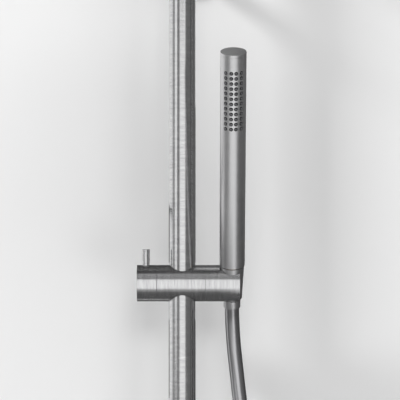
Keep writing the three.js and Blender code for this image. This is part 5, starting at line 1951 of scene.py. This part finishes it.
@dataclass
class Handset(Assembly):
    """The baton handset: tube, end cap, spray strip with its nubs, brass inlet, and the upper hose nut."""

    wall: float = 1.75 * MM
    edge: float = 0.08 * MM
    seam: float = 0.06 * MM
    nut_edge: float = 0.1 * MM
    nut_gap: float = 1.0 * MM
    rows: int = 12
    row_pitch: float = 4.84 * MM
    top_row: float = 17.1 * MM
    columns: tuple[float, ...] = (-36.5, -9.5, 12.0, 38.0)
    hole_radius: float = 1.8 * MM
    nub_radius: float = 0.85 * MM
    nub_proud: float = 0.35 * MM
    nub_flare: float = 1.15
    jet_radii: tuple[float, float] = (0.35 * MM, 0.3 * MM)
    jet_depth: float = 0.6 * MM
    strip_wall: float = 1.2 * MM
    strip_half_angle: float = 62
    strip_steps: int = 48
    thread_pitch: float = 1.4 * MM
    thread_depth: float = 0.6 * MM
    thread_end: float = 0.5 * MM
    inlet_bore: float = 5 * MM
    inlet_edge: float = 0.12 * MM

    def build(self) -> None:
        """Builds the handset's pieces."""
        self._tube()
        self._cap()
        self._strip()
        self._inlet()
        self._nut()
        collar = self.span("hose_nut_upper").low - CLEARANCE
        ferrule = crimped_ferrule(self.span("hose_ferrule_upper"), collar)
        self.piece("hose_ferrule_upper", ferrule, finish=SATIN)

    def _places(self) -> list[Matrix]:
        """Where the spray holes are: each turns local Z outwards through a hole's middle."""
        top = self.span("handset_end_cap").high - self.top_row
        turns = [Euler((math.pi / 2, 0, math.radians(angle))).to_matrix().to_4x4() for angle in self.columns]
        heights = [top - row * self.row_pitch for row in range(self.rows)]
        return [Matrix.Translation((0, 0, height)) @ turn for height in heights for turn in turns]

    def _tube(self) -> None:
        """The tube, pierced for each nozzle."""
        span = self.span("handset_tube")
        inner, reach = span.radius - self.wall, 2 * span.radius
        drills = [placed(rod(self.hole_radius, inner / 2, reach, 0, HOLE_STEPS), m) for m in self._places()]
        tube = ring(span.radius, inner, span.low, span.high, self.edge, FINE_STEPS)
        self.piece("handset_tube", worked(tube, (Cut.AWAY, merged(drills))), finish=SATIN)

    def _cap(self) -> None:
        """The end cap, let into the tube with a fine seam."""
        span, tube = self.span("handset_end_cap"), self.span("handset_tube")
        plug, face = tube.radius - self.wall - CLEARANCE, tube.high + self.seam
        outline = [(0, span.low), (plug, span.low), (plug, face), (span.radius, face)]
        outline += [(span.radius, span.high), (0, span.high)]
        self.piece("handset_end_cap", turned(outline, self.edge), finish=SATIN)

    def _strip(self) -> None:
        """The silicone strip inside the tube, with a nub in each hole."""
        tube = self.span("handset_tube")
        outer = tube.radius - self.wall - CLEARANCE
        inner, tip = outer - self.strip_wall, tube.radius + self.nub_proud
        base, floor, (mouth, throat) = outer - self.strip_wall / 2, tip - self.jet_depth, self.jet_radii
        outline = [(0, base), (self.nub_radius * self.nub_flare, base), (self.nub_radius, tip), (mouth, tip)]
        outline += [(throat, floor), (0, floor)]
        nubs = [placed(turned(outline, NUB_EDGE, NUB_STEPS), place) for place in self._places()]
        # its finish paints shade on the strip round the nubs and light on the nub tips
        self.piece("handset_spray_strip", merged([self._band(inner, outer), *nubs]), finish=SPRAY_SILICONE_PAINTED_LIGHT)

    def _band(self, inner: float, outer: float) -> Shape:
        """The curved strip that carries the nubs.

        Args:
            inner: the radius of its inner face.
            outer: the radius of its outer face.

        Returns:
            The strip, in the handset's coordinates.
        """
        span = self.span("handset_spray_strip")
        middle = math.radians((self.columns[0] + self.columns[-1]) / 2)
        half = math.radians(self.strip_half_angle)
        section = ((inner, span.low), (outer, span.low), (outer, span.high), (inner, span.high))
        strip, rows = bmesh.new(), []
        for step in range(self.strip_steps + 1):
            angle = middle - half + 2 * half * step / self.strip_steps
            across = Vector((math.sin(angle), -math.cos(angle), 0))
            rows.append([strip.verts.new(across * radius + Z_AXIS * height) for radius, height in section])
        for before, after in zip(rows, rows[1:]):
            for a, b in ((0, 1), (1, 2), (2, 3), (3, 0)):
                strip.faces.new((before[a], before[b], after[b], after[a]))
        strip.faces.new(rows[0])
        strip.faces.new(rows[-1])
        bmesh.ops.recalc_face_normals(strip, faces=strip.faces)
        return strip

    def _thread(self) -> float:
        """The radius of the inlet's thread."""
        return self.column.widest_at("handset_inlet", self.axis, self.span("handset_inlet").low)

    def _inlet(self) -> None:
        """The brass inlet with its outer thread."""
        span, foot, thread = self.span("handset_inlet"), self.span("handset_tube").low, self._thread()
        outline = [(self.inlet_bore, span.low)]
        outline += ribs(thread, self.thread_depth, span.low, foot - self.thread_end, self.thread_pitch)
        outline += [(thread - self.thread_depth, foot), (span.radius, foot), (span.radius, span.high)]
        outline.append((self.inlet_bore, span.high))
        self.piece("handset_inlet", turned(outline, self.inlet_edge, closed=True))

    def _nut(self) -> None:
        """The tapered upper hose nut, which rests in the holder."""
        span, thread = self.span("hose_nut_upper"), self._thread() + CLEARANCE
        neck = span.low + NUT_CHAMFER
        foot = self.column.widest_at("hose_nut_upper", self.axis, neck)
        floor = self.span("hose_washer_upper").low - CLEARANCE
        top = self.span("handset_tube").low - self.nut_gap
        outline = [(thread, top), (span.radius, top), (foot, neck), (foot - NUT_CHAMFER, span.low)]
        outline += [(SWIVEL_RADIUS, span.low), (SWIVEL_RADIUS, floor), (thread, floor)]
        self.piece("hose_nut_upper", turned(outline, self.nut_edge, closed=True), finish=SATIN)


# ---- Hose ------------------------------------------------


@dataclass(frozen=True)
class Path:
    """A line through points, with a frame carried along it without twist.

    Args:
        points: the line's points.
        sides: the direction of local X at each point.
        tangents: the way the line runs at each point.
    """

    points: list[Vector]
    sides: list[Vector]
    tangents: list[Vector]

    @staticmethod
    def of(points: Sequence[Vector]) -> Path:
        """Works out the tangents and carries the frame along."""
        last = len(points) - 1
        tangents = [(points[min(i + 1, last)] - points[max(i - 1, 0)]).normalized() for i in range(last + 1)]
        side = X_AXIS - tangents[0] * X_AXIS.dot(tangents[0])
        sides = [side.normalized()]
        for before, after in zip(tangents, tangents[1:]):
            sides.append(before.rotation_difference(after) @ sides[-1])
        return Path(list(points), sides, tangents)

    def part(self, first: int, last: int) -> Path:
        """The stretch from one point to another, both kept."""
        return Path(self.points[first:last + 1], self.sides[first:last + 1], self.tangents[first:last + 1])

    @property
    def length(self) -> float:
        """The line's length."""
        return sum((b - a).length for a, b in zip(self.points, self.points[1:]))


def swept(path: Path, radius: float, sides: int, bore: float = 0.0, start: float | None = None) -> Shape:
    """Runs a round section along a path.

    Args:
        path: the line that it follows.
        radius: the section's radius.
        sides: how many facets it has.
        bore: the radius of its hole, 0 for a solid one.
        start: how far along the whole hose the path begins, where the piece needs the hose's layout.

    Returns:
        The closed shape.
    """
    mesh = bmesh.new()
    skins = []
    for size in ([radius, bore] if bore else [radius]):
        rings = []
        for point, side, tangent in zip(path.points, path.sides, path.tangents):
            other = tangent.cross(side)
            turns = (2 * math.pi * step / sides for step in range(sides))
            ways = (side * math.cos(turn) + other * math.sin(turn) for turn in turns)
            rings.append([mesh.verts.new(point + size * way) for way in ways])
        skins.append(rings)
    layout = mesh.loops.layers.uv.new(HOSE_UV) if start is not None else None
    distances = [start or 0.0]
    for before, after in zip(path.points, path.points[1:]):
        distances.append(distances[-1] + (after - before).length)
    for rings in skins:
        for index, (before, after) in enumerate(zip(rings, rings[1:])):
            for step in range(sides):
                beyond = (step + 1) % sides
                face = mesh.faces.new((before[step], before[beyond], after[beyond], after[step]))
                if layout:
                    marks = ((index, step), (index, step + 1), (index + 1, step + 1), (index + 1, step))
                    for loop, (place, turn) in zip(face.loops, marks):
                        loop[layout].uv = (distances[place], turn / sides)
    for end in (0, -1):
        if bore:
            for step in range(sides):
                beyond = (step + 1) % sides
                outer, inner = skins[0][end], skins[1][end]
                mesh.faces.new((outer[step], outer[beyond], inner[beyond], inner[step]))
        else:
            mesh.faces.new(skins[0][end])
    bmesh.ops.recalc_face_normals(mesh, faces=mesh.faces)
    return mesh


@dataclass(frozen=True)
class Stretch:
    """One length of the hose.

    Args:
        name: the piece's name.
        bodies: the two bodies that it bends between.
        bend: the points at which it follows the first and the second of them.
        riders: the nodes whose pieces belong to it.
    """

    name: str
    bodies: tuple[str, str]
    bend: tuple[Vector, Vector]
    riders: tuple[str, ...]


@dataclass
class Hose(Assembly):
    """The shower hose, one smooth sleeve from the handset's nut, round below the mixer and up to its outlet.

    It is made in six lengths that meet ring to ring, because each crosses one joint only. The top three
    follow the handset's lift, the holder's tilt and the slider's turn. The lower three share the slider's
    travel, so that the bottom of the loop moves half as far as the slider, as a real loop does.
    """

    radius: float = 6.7 * MM
    sides: int = 32
    spacing: float = 3 * MM
    lift_end: float = 85 * MM
    tilt_end: float = 170 * MM
    turn_end: float = 255 * MM
    leg_foot_z: float = -1.2
    return_foot_z: float = -1.3
    far: float = 100.0
    route: tuple[Corner, ...] = (
        (0.0465, -0.05473, -0.33202), (0.0468, -0.0499, -0.3426), (0.0482, -0.0446, -0.366),
        (0.0509, -0.0434, -0.3913), (0.0538, -0.046, -0.4174), (0.0593, -0.054, -0.46),
        (0.0675, -0.068, -0.52), (0.078, -0.085, -0.6), (0.087, -0.098, -0.69),
        (0.0935, -0.106, -0.79), (0.0975, -0.11, -0.89), (0.0995, -0.111, -0.99),
        (0.1, -0.11, -1.08), (0.1005, -0.108, -1.17), (0.1005, -0.106, -1.245),
        (0.0985, -0.1035, -1.309), (0.0915, -0.101, -1.342), (0.0745, -0.0975, -1.369),
        (0.0485, -0.0935, -1.386), (0.0175, -0.089, -1.392), (-0.0135, -0.0845, -1.386),
        (-0.04, -0.0805, -1.368), (-0.058, -0.0765, -1.34), (-0.066, -0.073, -1.304),
        (-0.067, -0.0695, -1.255), (-0.062, -0.067, -1.206), (-0.0535, -0.0655, -1.163),
        (-0.0472, -0.065, -1.134), (-0.0451, -0.065, -1.117), (-0.045, -0.065, -1.1071),
    )

    def build(self) -> None:
        path = self._path()
        marks = [0.0]
        for before, after in zip(path.points, path.points[1:]):
            marks.append(marks[-1] + (after - before).length)
        bottom = min(range(len(path.points)), key=lambda i: path.points[i].z)
        leg = next(i for i in range(bottom) if path.points[i].z < self.leg_foot_z)
        back = next(i for i in range(bottom, len(marks)) if path.points[i].z > self.return_foot_z)
        cuts = [0, *(self._at(marks, length) for length in (self.lift_end, self.tilt_end, self.turn_end))]
        cuts += [leg, back, len(marks) - 1]
        for stretch, first, last in zip(self._stretches(path, cuts), cuts, cuts[1:]):
            self._length(stretch, path.part(first, last), marks[first])

    def _at(self, marks: Sequence[float], length: float) -> int:
        """The point nearest a length along the hose."""
        return min(range(len(marks)), key=lambda i: abs(marks[i] - length))

    def _path(self) -> Path:
        """The centreline through the route's points, which leaves each point as smoothly as it reaches it."""
        points = [Vector(point) for point in self.route]
        points = [2 * points[0] - points[1], *points, 2 * points[-1] - points[-2]]
        fine: list[Vector] = []
        for before, start, end, after in zip(points, points[1:], points[2:], points[3:]):
            leave, arrive = self._tangents(before, start, end, after)
            count = max(2, round((end - start).length / self.spacing))
            fine += interpolate_bezier(start, start + leave / 3, end - arrive / 3, end, count + 1)[:-1]
        fine.append(points[-2])
        return Path.of([Vector(point) for point in fine])

    def _tangents(self, before: Vector, start: Vector, end: Vector, after: Vector) -> tuple[Vector, Vector]:
        """The curve's tangents at both ends of a span, weighted by the distances between its points.

        Args:
            before: the point before the span.
            start: the span's first point.
            end: its last point.
            after: the point after it.

        Returns:
            How the curve leaves the first point and how it reaches the last.
        """
        gaps = [math.sqrt((b - a).length) for a, b in ((before, start), (start, end), (end, after))]
        leave = (start - before) / gaps[0] - (end - before) / (gaps[0] + gaps[1]) + (end - start) / gaps[1]
        arrive = (end - start) / gaps[1] - (after - start) / (gaps[1] + gaps[2]) + (after - end) / gaps[2]
        return leave * gaps[1], arrive * gaps[1]

    def _stretches(self, path: Path, cuts: Sequence[int]) -> list[Stretch]:
        """The six lengths and what each follows.

        Args:
            path: the whole centreline.
            cuts: the numbers of the points where the lengths meet, with both ends.

        Returns:
            The lengths, from the handset down.
        """
        places = [path.points[index] for index in cuts]
        leg_top, leg_foot, back_top = places[3], places[4], places[5]
        leg = leg_top.z - leg_foot.z
        sleeve = ("column", "slider_sleeve")
        foot = places[6].z
        names = ("hose_lift", "hose_tilt", "hose_turn", "hose_leg", "hose_loop", "hose_return")
        bodies = [("holder", "hose_end"), ("slider", "holder"), ("slider_sleeve", "slider")]
        bodies += [sleeve] * 3
        bends = [(places[1], places[0]), (places[2], places[1]), (places[3], places[2])]
        bends.append((Z_AXIS * (leg_foot.z - leg), Z_AXIS * leg_top.z))
        bends.append((leg_foot - Y_AXIS * self.far, leg_foot + Y_AXIS * self.far))
        bends.append((Z_AXIS * foot, Z_AXIS * (foot - 2 * (foot - back_top.z))))
        riders = [("hose_ferrule_upper", "hose_nut_upper", "hose_washer_upper"), (), (), (), (), ()]
        riders[5] = ("hose_ferrule_lower", "hose_nut_lower", "hose_washer_lower")
        return [Stretch(*facts) for facts in zip(names, bodies, bends, riders)]

    def _length(self, stretch: Stretch, path: Path, start: float) -> None:
        """Args:
            stretch: which length it is.
            path: its own part of the centreline.
            start: how far along the whole hose it begins.
        """
        shape = swept(path, self.radius, self.sides, start=start)
        piece = self.shop.loose(stretch.name, shape, self.axis, "shower_hose")
        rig.blend(piece, *stretch.bodies, *stretch.bend)
        made, nodes = self.shop.made, self.column.frame["nodes"]
        riders = [made.get(f"fine_{node}", nodes[node]) for node in stretch.riders]
        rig.cord(
            piece, path.points[0], path.length, 2 * self.radius, "object", stiffness="medium", lay="hanging",
            path=path.points, with_pieces=riders,
        )


# ---- Studio ----------------------------------------------


@dataclass(frozen=True)
class Card:
    """A soft patch of light or shade that only the metal sees, on a sphere round the slider.

    Args:
        name: its name.
        level: how bright it is.
        azimuth: its two edges in degrees, from straight in front, to the right.
        elevation: its lower and upper edges in degrees.
        distance: the sphere's radius.
    """

    name: str
    level: float
    azimuth: tuple[float, float]
    elevation: tuple[float, float]
    distance: float


@dataclass(frozen=True)
class Panel:
    """A flat patch of light or shade that only the metal sees, upright or level.

    Args:
        name: its name.
        level: how bright it is.
        low: its lowest corner.
        high: its highest corner, level with the other along Y or Z.
    """

    name: str
    level: float
    low: Corner
    high: Corner

    def corners(self) -> list[Corner]:
        """The rectangle's corners in turn."""
        (left, near, low), (right, far, high) = self.low, self.high
        if low == high:
            return [(left, near, low), (right, near, low), (right, far, low), (left, far, low)]
        return [(left, near, low), (right, near, low), (right, near, high), (left, near, high)]


@dataclass(frozen=True)
class Lamp:
    """A soft area lamp.

    Args:
        name: its name.
        power: its power in watts.
        place: where it stands.
        aim: the point that it faces.
        size: its width and height.
    """

    name: str
    power: float
    place: Corner
    aim: Corner
    size: tuple[float, float]


@dataclass
class Studio:
    """The pale wall and floor, the soft lamps, the cards that the metal mirrors, and the camera."""

    camera_place: Corner = (0.0166, -2.165, -0.310)
    camera_lens: float = 202.5
    camera_pitch: float = math.radians(2.119)
    middle: Corner = (0.0, -0.065, -0.31)
    wall_half_width: float = 4.0
    wall_top: float = 2.2
    floor_z: float = -2.05
    floor_reach: float = 4.0
    wall_colour: Colour = (0.8, 0.8, 0.8)
    floor_colour: Colour = (0.74, 0.74, 0.74)
    cloud_scale: float = 1.2
    cloud_shares: tuple[float, float] = (0.98, 1.02)
    card_steps: int = 12
    seen_world: float = 0.8
    fill: float = 0.5
    lamps: tuple[Lamp, ...] = (
        Lamp("left_key", 41.5, (-1.9, -0.97, 1.27), (0.05, 0, -0.25), (0.36, 0.36)),
        Lamp("front", 20, (0.1, -2.5, 0.95), (0.0, 0, -0.3), (1.1, 0.9)),
        Lamp("low_right", 10, (1.45, -2.1, -1.4), (0.0, 0, -0.3), (0.9, 0.9)),
    )
    cards: tuple[Card, ...] = (
        Card("front_softbox", 1.22, (-22, 27), (-28, 24), 4.0),
        Card("mid_softbox", 1.22, (-32, 42), (-38, -15), 0.8),
        Card("low_softbox", 1.22, (-31, 42), (-60, -38), 0.8),
        Card("low_softbox_fade", 0.6, (-30, 42), (-66, -60), 0.8),
        Card("left_strip", 1.35, (-65, -45), (-3, 40), 4.0),
        Card("left_near_grey", 0.26, (-66, -22), (-28, 80), 4.1),
        Card("left_far_grey", 0.42, (-100, -66), (-28, 80), 4.1),
        Card("left_mid_grey", 0.22, (-100, -32), (-38, -15), 0.8),
        Card("left_low_grey", 0.42, (-100, -31), (-66, -38), 0.8),
        Card("right_dark", 0.2, (27, 75), (-28, 80), 4.1),
        Card("right_far_dark", 0.12, (75, 100), (-28, 80), 4.1),
        Card("right_mid_dark", 0.13, (42, 110), (-38, -15), 0.8),
        Card("right_low_fade", 0.42, (42, 62), (-66, -38), 0.8),
        Card("right_low_dark", 0.05, (62, 110), (-66, -38), 0.8),
        Card("high_gap", 0.24, (-22, 27), (24, 36), 4.0),
        Card("high_grey", 0.5, (-22, 27), (36, 62), 4.0),
    )
    panels: tuple[Panel, ...] = (
        Panel("ceiling_dark", 0.08, (-2.4, -1.37, 2.15), (2.4, -0.01, 2.15)),
        Panel("floor_dark", 0.14, (-1.5, -0.8, -1.95), (1.5, -0.01, -1.95)),
        Panel("slider_flag_pale", 0.78, (-0.2, -0.271, -0.442), (0.06, -0.23, -0.442)),
        Panel("slider_flag_grey", 0.38, (-0.2, -0.23, -0.442), (0.06, -0.17, -0.442)),
        Panel("slider_flag_dim", 0.15, (-0.2, -0.17, -0.442), (0.06, -0.123, -0.442)),
        Panel("slider_flag_dark", 0.12, (-0.2, -0.123, -0.442), (0.06, -0.003, -0.442)),
        Panel("knob_flag_dim", 0.13, (-0.2, -0.072, -0.24), (-0.012, -0.04, -0.24)),
        Panel("knob_flag_dark", 0.08, (-0.2, -0.04, -0.24), (-0.012, -0.003, -0.24)),
        Panel("wall_light", 1.08, (-1.6, -0.003, -1.2), (-0.07, -0.003, 0.15)),
        Panel("wall_near_light", 0.85, (-0.07, -0.003, -0.235), (-0.01, -0.003, 0.15)),
        Panel("wall_near_light_low", 0.85, (-0.07, -0.003, -1.2), (-0.01, -0.003, -0.42)),
        Panel("wall_right_dark", 0.17, (0.055, -0.003, -0.3), (1.2, -0.003, 1.5)),
        Panel("wall_right_low", 0.09, (0.055, -0.003, -0.95), (1.2, -0.003, -0.3)),
        Panel("wall_above_slider", 0.08, (-0.07, -0.003, -0.29), (-0.01, -0.003, -0.235)),
        Panel("wall_by_holder", 0.15, (-0.01, -0.003, -0.29), (0.055, -0.003, -0.14)),
        Panel("wall_high_dark", 0.18, (-0.8, -0.003, 0.15), (-0.01, -0.003, 1.5)),
        Panel("wall_above_handset", 0.25, (0.03, -0.003, 0.0), (0.055, -0.003, 0.5)),
        Panel("wall_below_slider", 0.16, (-0.07, -0.003, -0.42), (-0.01, -0.003, -0.345)),
        Panel("wall_below_holder", 0.12, (-0.01, -0.003, -0.98), (0.055, -0.003, -0.345)),
    )

    def build(self) -> None:
        """Sets up the studio."""
        self._camera()
        self._backdrop()
        self._world()
        for lamp in self.lamps:
            self._lamp(lamp)
        for card in self.cards:
            self._card(card)
        for panel in self.panels:
            self._panel(panel)
        bpy.context.scene.view_settings.view_transform = "Standard"

    def _camera(self) -> None:
        """The camera, level with the slider and a little to its right."""
        data = bpy.data.cameras.new("camera")
        data.lens = self.camera_lens
        camera = bpy.data.objects.new("camera", data)
        camera.location = self.camera_place
        camera.rotation_euler = (math.pi / 2 + self.camera_pitch, 0, 0)
        bpy.context.scene.collection.objects.link(camera)
        bpy.context.scene.camera = camera

    def _sheet(self, name: str, corners: Sequence[Corner], colour: Colour) -> None:
        """A flat backdrop that shows from its front only.

        Args:
            name: its name.
            corners: its corners in turn.
            colour: its middle colour.
        """
        mesh = bmesh.new()
        mesh.faces.new([mesh.verts.new(corner) for corner in corners])
        data = bpy.data.meshes.new(name)
        mesh.to_mesh(data)
        mesh.free()
        made = bpy.data.objects.new(name, data)
        bpy.context.scene.collection.objects.link(made)
        tree = ShaderTree(name)
        coordinates = tree.node("ShaderNodeTexCoord", {}, {}, "Object")
        cloud = tree.noise(coordinates, self.cloud_scale, 1.0)
        dark, light = (tuple(share * value for value in colour) for share in self.cloud_shares)
        shade = tree.ramp(cloud, dark, light)
        paint = tree.node("ShaderNodeBsdfDiffuse", {}, {"Color": shade})
        clear = tree.node("ShaderNodeBsdfTransparent", {}, {})
        behind = tree.node("ShaderNodeNewGeometry", {}, {}, "Backfacing")
        mixed = tree.node("ShaderNodeMixShader", {}, {0: behind, 1: paint, 2: clear})
        data.materials.append(tree.close(mixed))
        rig.stage(made)

    def _backdrop(self) -> None:
        """The wall and the floor."""
        wide, top, low, near = self.wall_half_width, self.wall_top, self.floor_z, -self.floor_reach
        wall = [(-wide, 0, low), (wide, 0, low), (wide, 0, top), (-wide, 0, top)]
        floor = [(-wide, near, low), (wide, near, low), (wide, 0, low), (-wide, 0, low)]
        self._sheet("wall", wall, self.wall_colour)
        self._sheet("floor", floor, self.floor_colour)

    def _world(self) -> None:
        """A pale world to look at, and a softer one to be lit by."""
        tree = ShaderTree("studio", "worlds")
        rays = tree.add("ShaderNodeLightPath", {}, {}).outputs
        seen = Wire(tree, rays["Is Camera Ray"])
        for kind in ("Is Glossy Ray", "Is Transmission Ray"):
            seen = seen.at_least(Wire(tree, rays[kind]))
        inputs = {"Value": seen, "To Min": self.fill, "To Max": self.seen_world}
        level = tree.node("ShaderNodeMapRange", {}, inputs)
        glow = tree.node("ShaderNodeBackground", {}, {"Strength": level, "Color": WHITE})
        bpy.context.scene.world = tree.close(glow, "ShaderNodeOutputWorld")

    def _lamp(self, lamp: Lamp) -> None:
        """One area lamp, which the metal doesn't mirror.

        Args:
            lamp: what it is and where it stands.
        """
        data = bpy.data.lights.new(lamp.name, "AREA")
        data.shape = "RECTANGLE"
        data.size, data.size_y = lamp.size
        data.energy = lamp.power
        made = bpy.data.objects.new(lamp.name, data)
        made.location = lamp.place
        made.rotation_euler = (Vector(lamp.aim) - Vector(lamp.place)).to_track_quat("-Z", "Y").to_euler()
        made.visible_glossy = False
        bpy.context.scene.collection.objects.link(made)

    def _card(self, card: Card) -> None:
        """One card, curved about the slider and facing it.

        Args:
            card: how bright it is and what it covers.
        """
        mesh = bmesh.new()
        steps = range(self.card_steps + 1)
        (left, right), (foot, top) = card.azimuth, card.elevation
        grid = []
        for row in steps:
            high = math.radians(foot + (top - foot) * row / self.card_steps)
            line = []
            for step in steps:
                turn = math.radians(left + (right - left) * step / self.card_steps)
                across, near = math.sin(turn) * math.cos(high), -math.cos(turn) * math.cos(high)
                way = Vector((across, near, math.sin(high)))
                line.append(mesh.verts.new(Vector(self.middle) + way * card.distance))
            grid.append(line)
        for lower, upper in zip(grid, grid[1:]):
            for step in range(self.card_steps):
                mesh.faces.new((lower[step], upper[step], upper[step + 1], lower[step + 1]))
        self._glow(card.name, card.level, mesh)

    def _panel(self, panel: Panel) -> None:
        """One flat panel."""
        mesh = bmesh.new()
        mesh.faces.new([mesh.verts.new(corner) for corner in panel.corners()])
        self._glow(panel.name, panel.level, mesh)

    def _glow(self, name: str, level: float, mesh: Shape) -> None:
        """Makes a mesh a plain glow that nothing but gloss picks up.

        Args:
            name: its name.
            level: how bright it is.
            mesh: its shape, which is freed.
        """
        data = bpy.data.meshes.new(name)
        mesh.to_mesh(data)
        mesh.free()
        made = bpy.data.objects.new(name, data)
        bpy.context.scene.collection.objects.link(made)
        tree = ShaderTree(name)
        glow = tree.node("ShaderNodeEmission", {}, {"Color": WHITE, "Strength": level})
        data.materials.append(tree.close(glow))
        for sight in ("camera", "diffuse", "transmission", "shadow", "volume_scatter"):
            setattr(made, f"visible_{sight}", False)
        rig.stage(made)


# ---- The whole -------------------------------------------


def plain_box() -> list[list[float]]:
    """The shown object's box as plain numbers."""
    return [[round(value, 6) for value in corner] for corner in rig.bounds()]


def main() -> None:
    """Loads the frame, builds each sub-assembly over it and writes the sizes."""
    logging.basicConfig(level=logging.INFO, format="%(name)s: %(message)s")
    column = Column(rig.load())
    packed = plain_box()
    Studio().build()
    shop = Workshop(column)
    assemblies: list[Assembly] = [
        WallBracket(shop, inward(Vector())), Riser(shop, column.riser_axis),
        OverheadArm(shop, column.head_axis), RainHead(shop, column.head_axis),
        Mixer(shop, column.bar_axis), *(InletUnion(shop, column.inlet_axis(side), side) for side in Side),
        HoseOutlet(shop, column.outlet_axis), Slider(shop, column.slider_axis),
        Holder(shop, column.slider_axis), Handset(shop, column.handset_axis), Hose(shop, upright(Vector())),
    ]
    for assembly in assemblies:
        known = set(shop.made)
        assembly.build()
        for name in sorted(set(shop.made) - known):
            faces = len(shop.made[name].data.polygons)
            LOG.info("%s made %s, %d faces", type(assembly).__name__, name, faces)
    shop.dress_nodes()
    with open(SIZE_FILE, "w", encoding="utf-8") as out:
        json.dump({"cad": packed, "visual": plain_box()}, out)


if __name__ == "__main__":
    main()
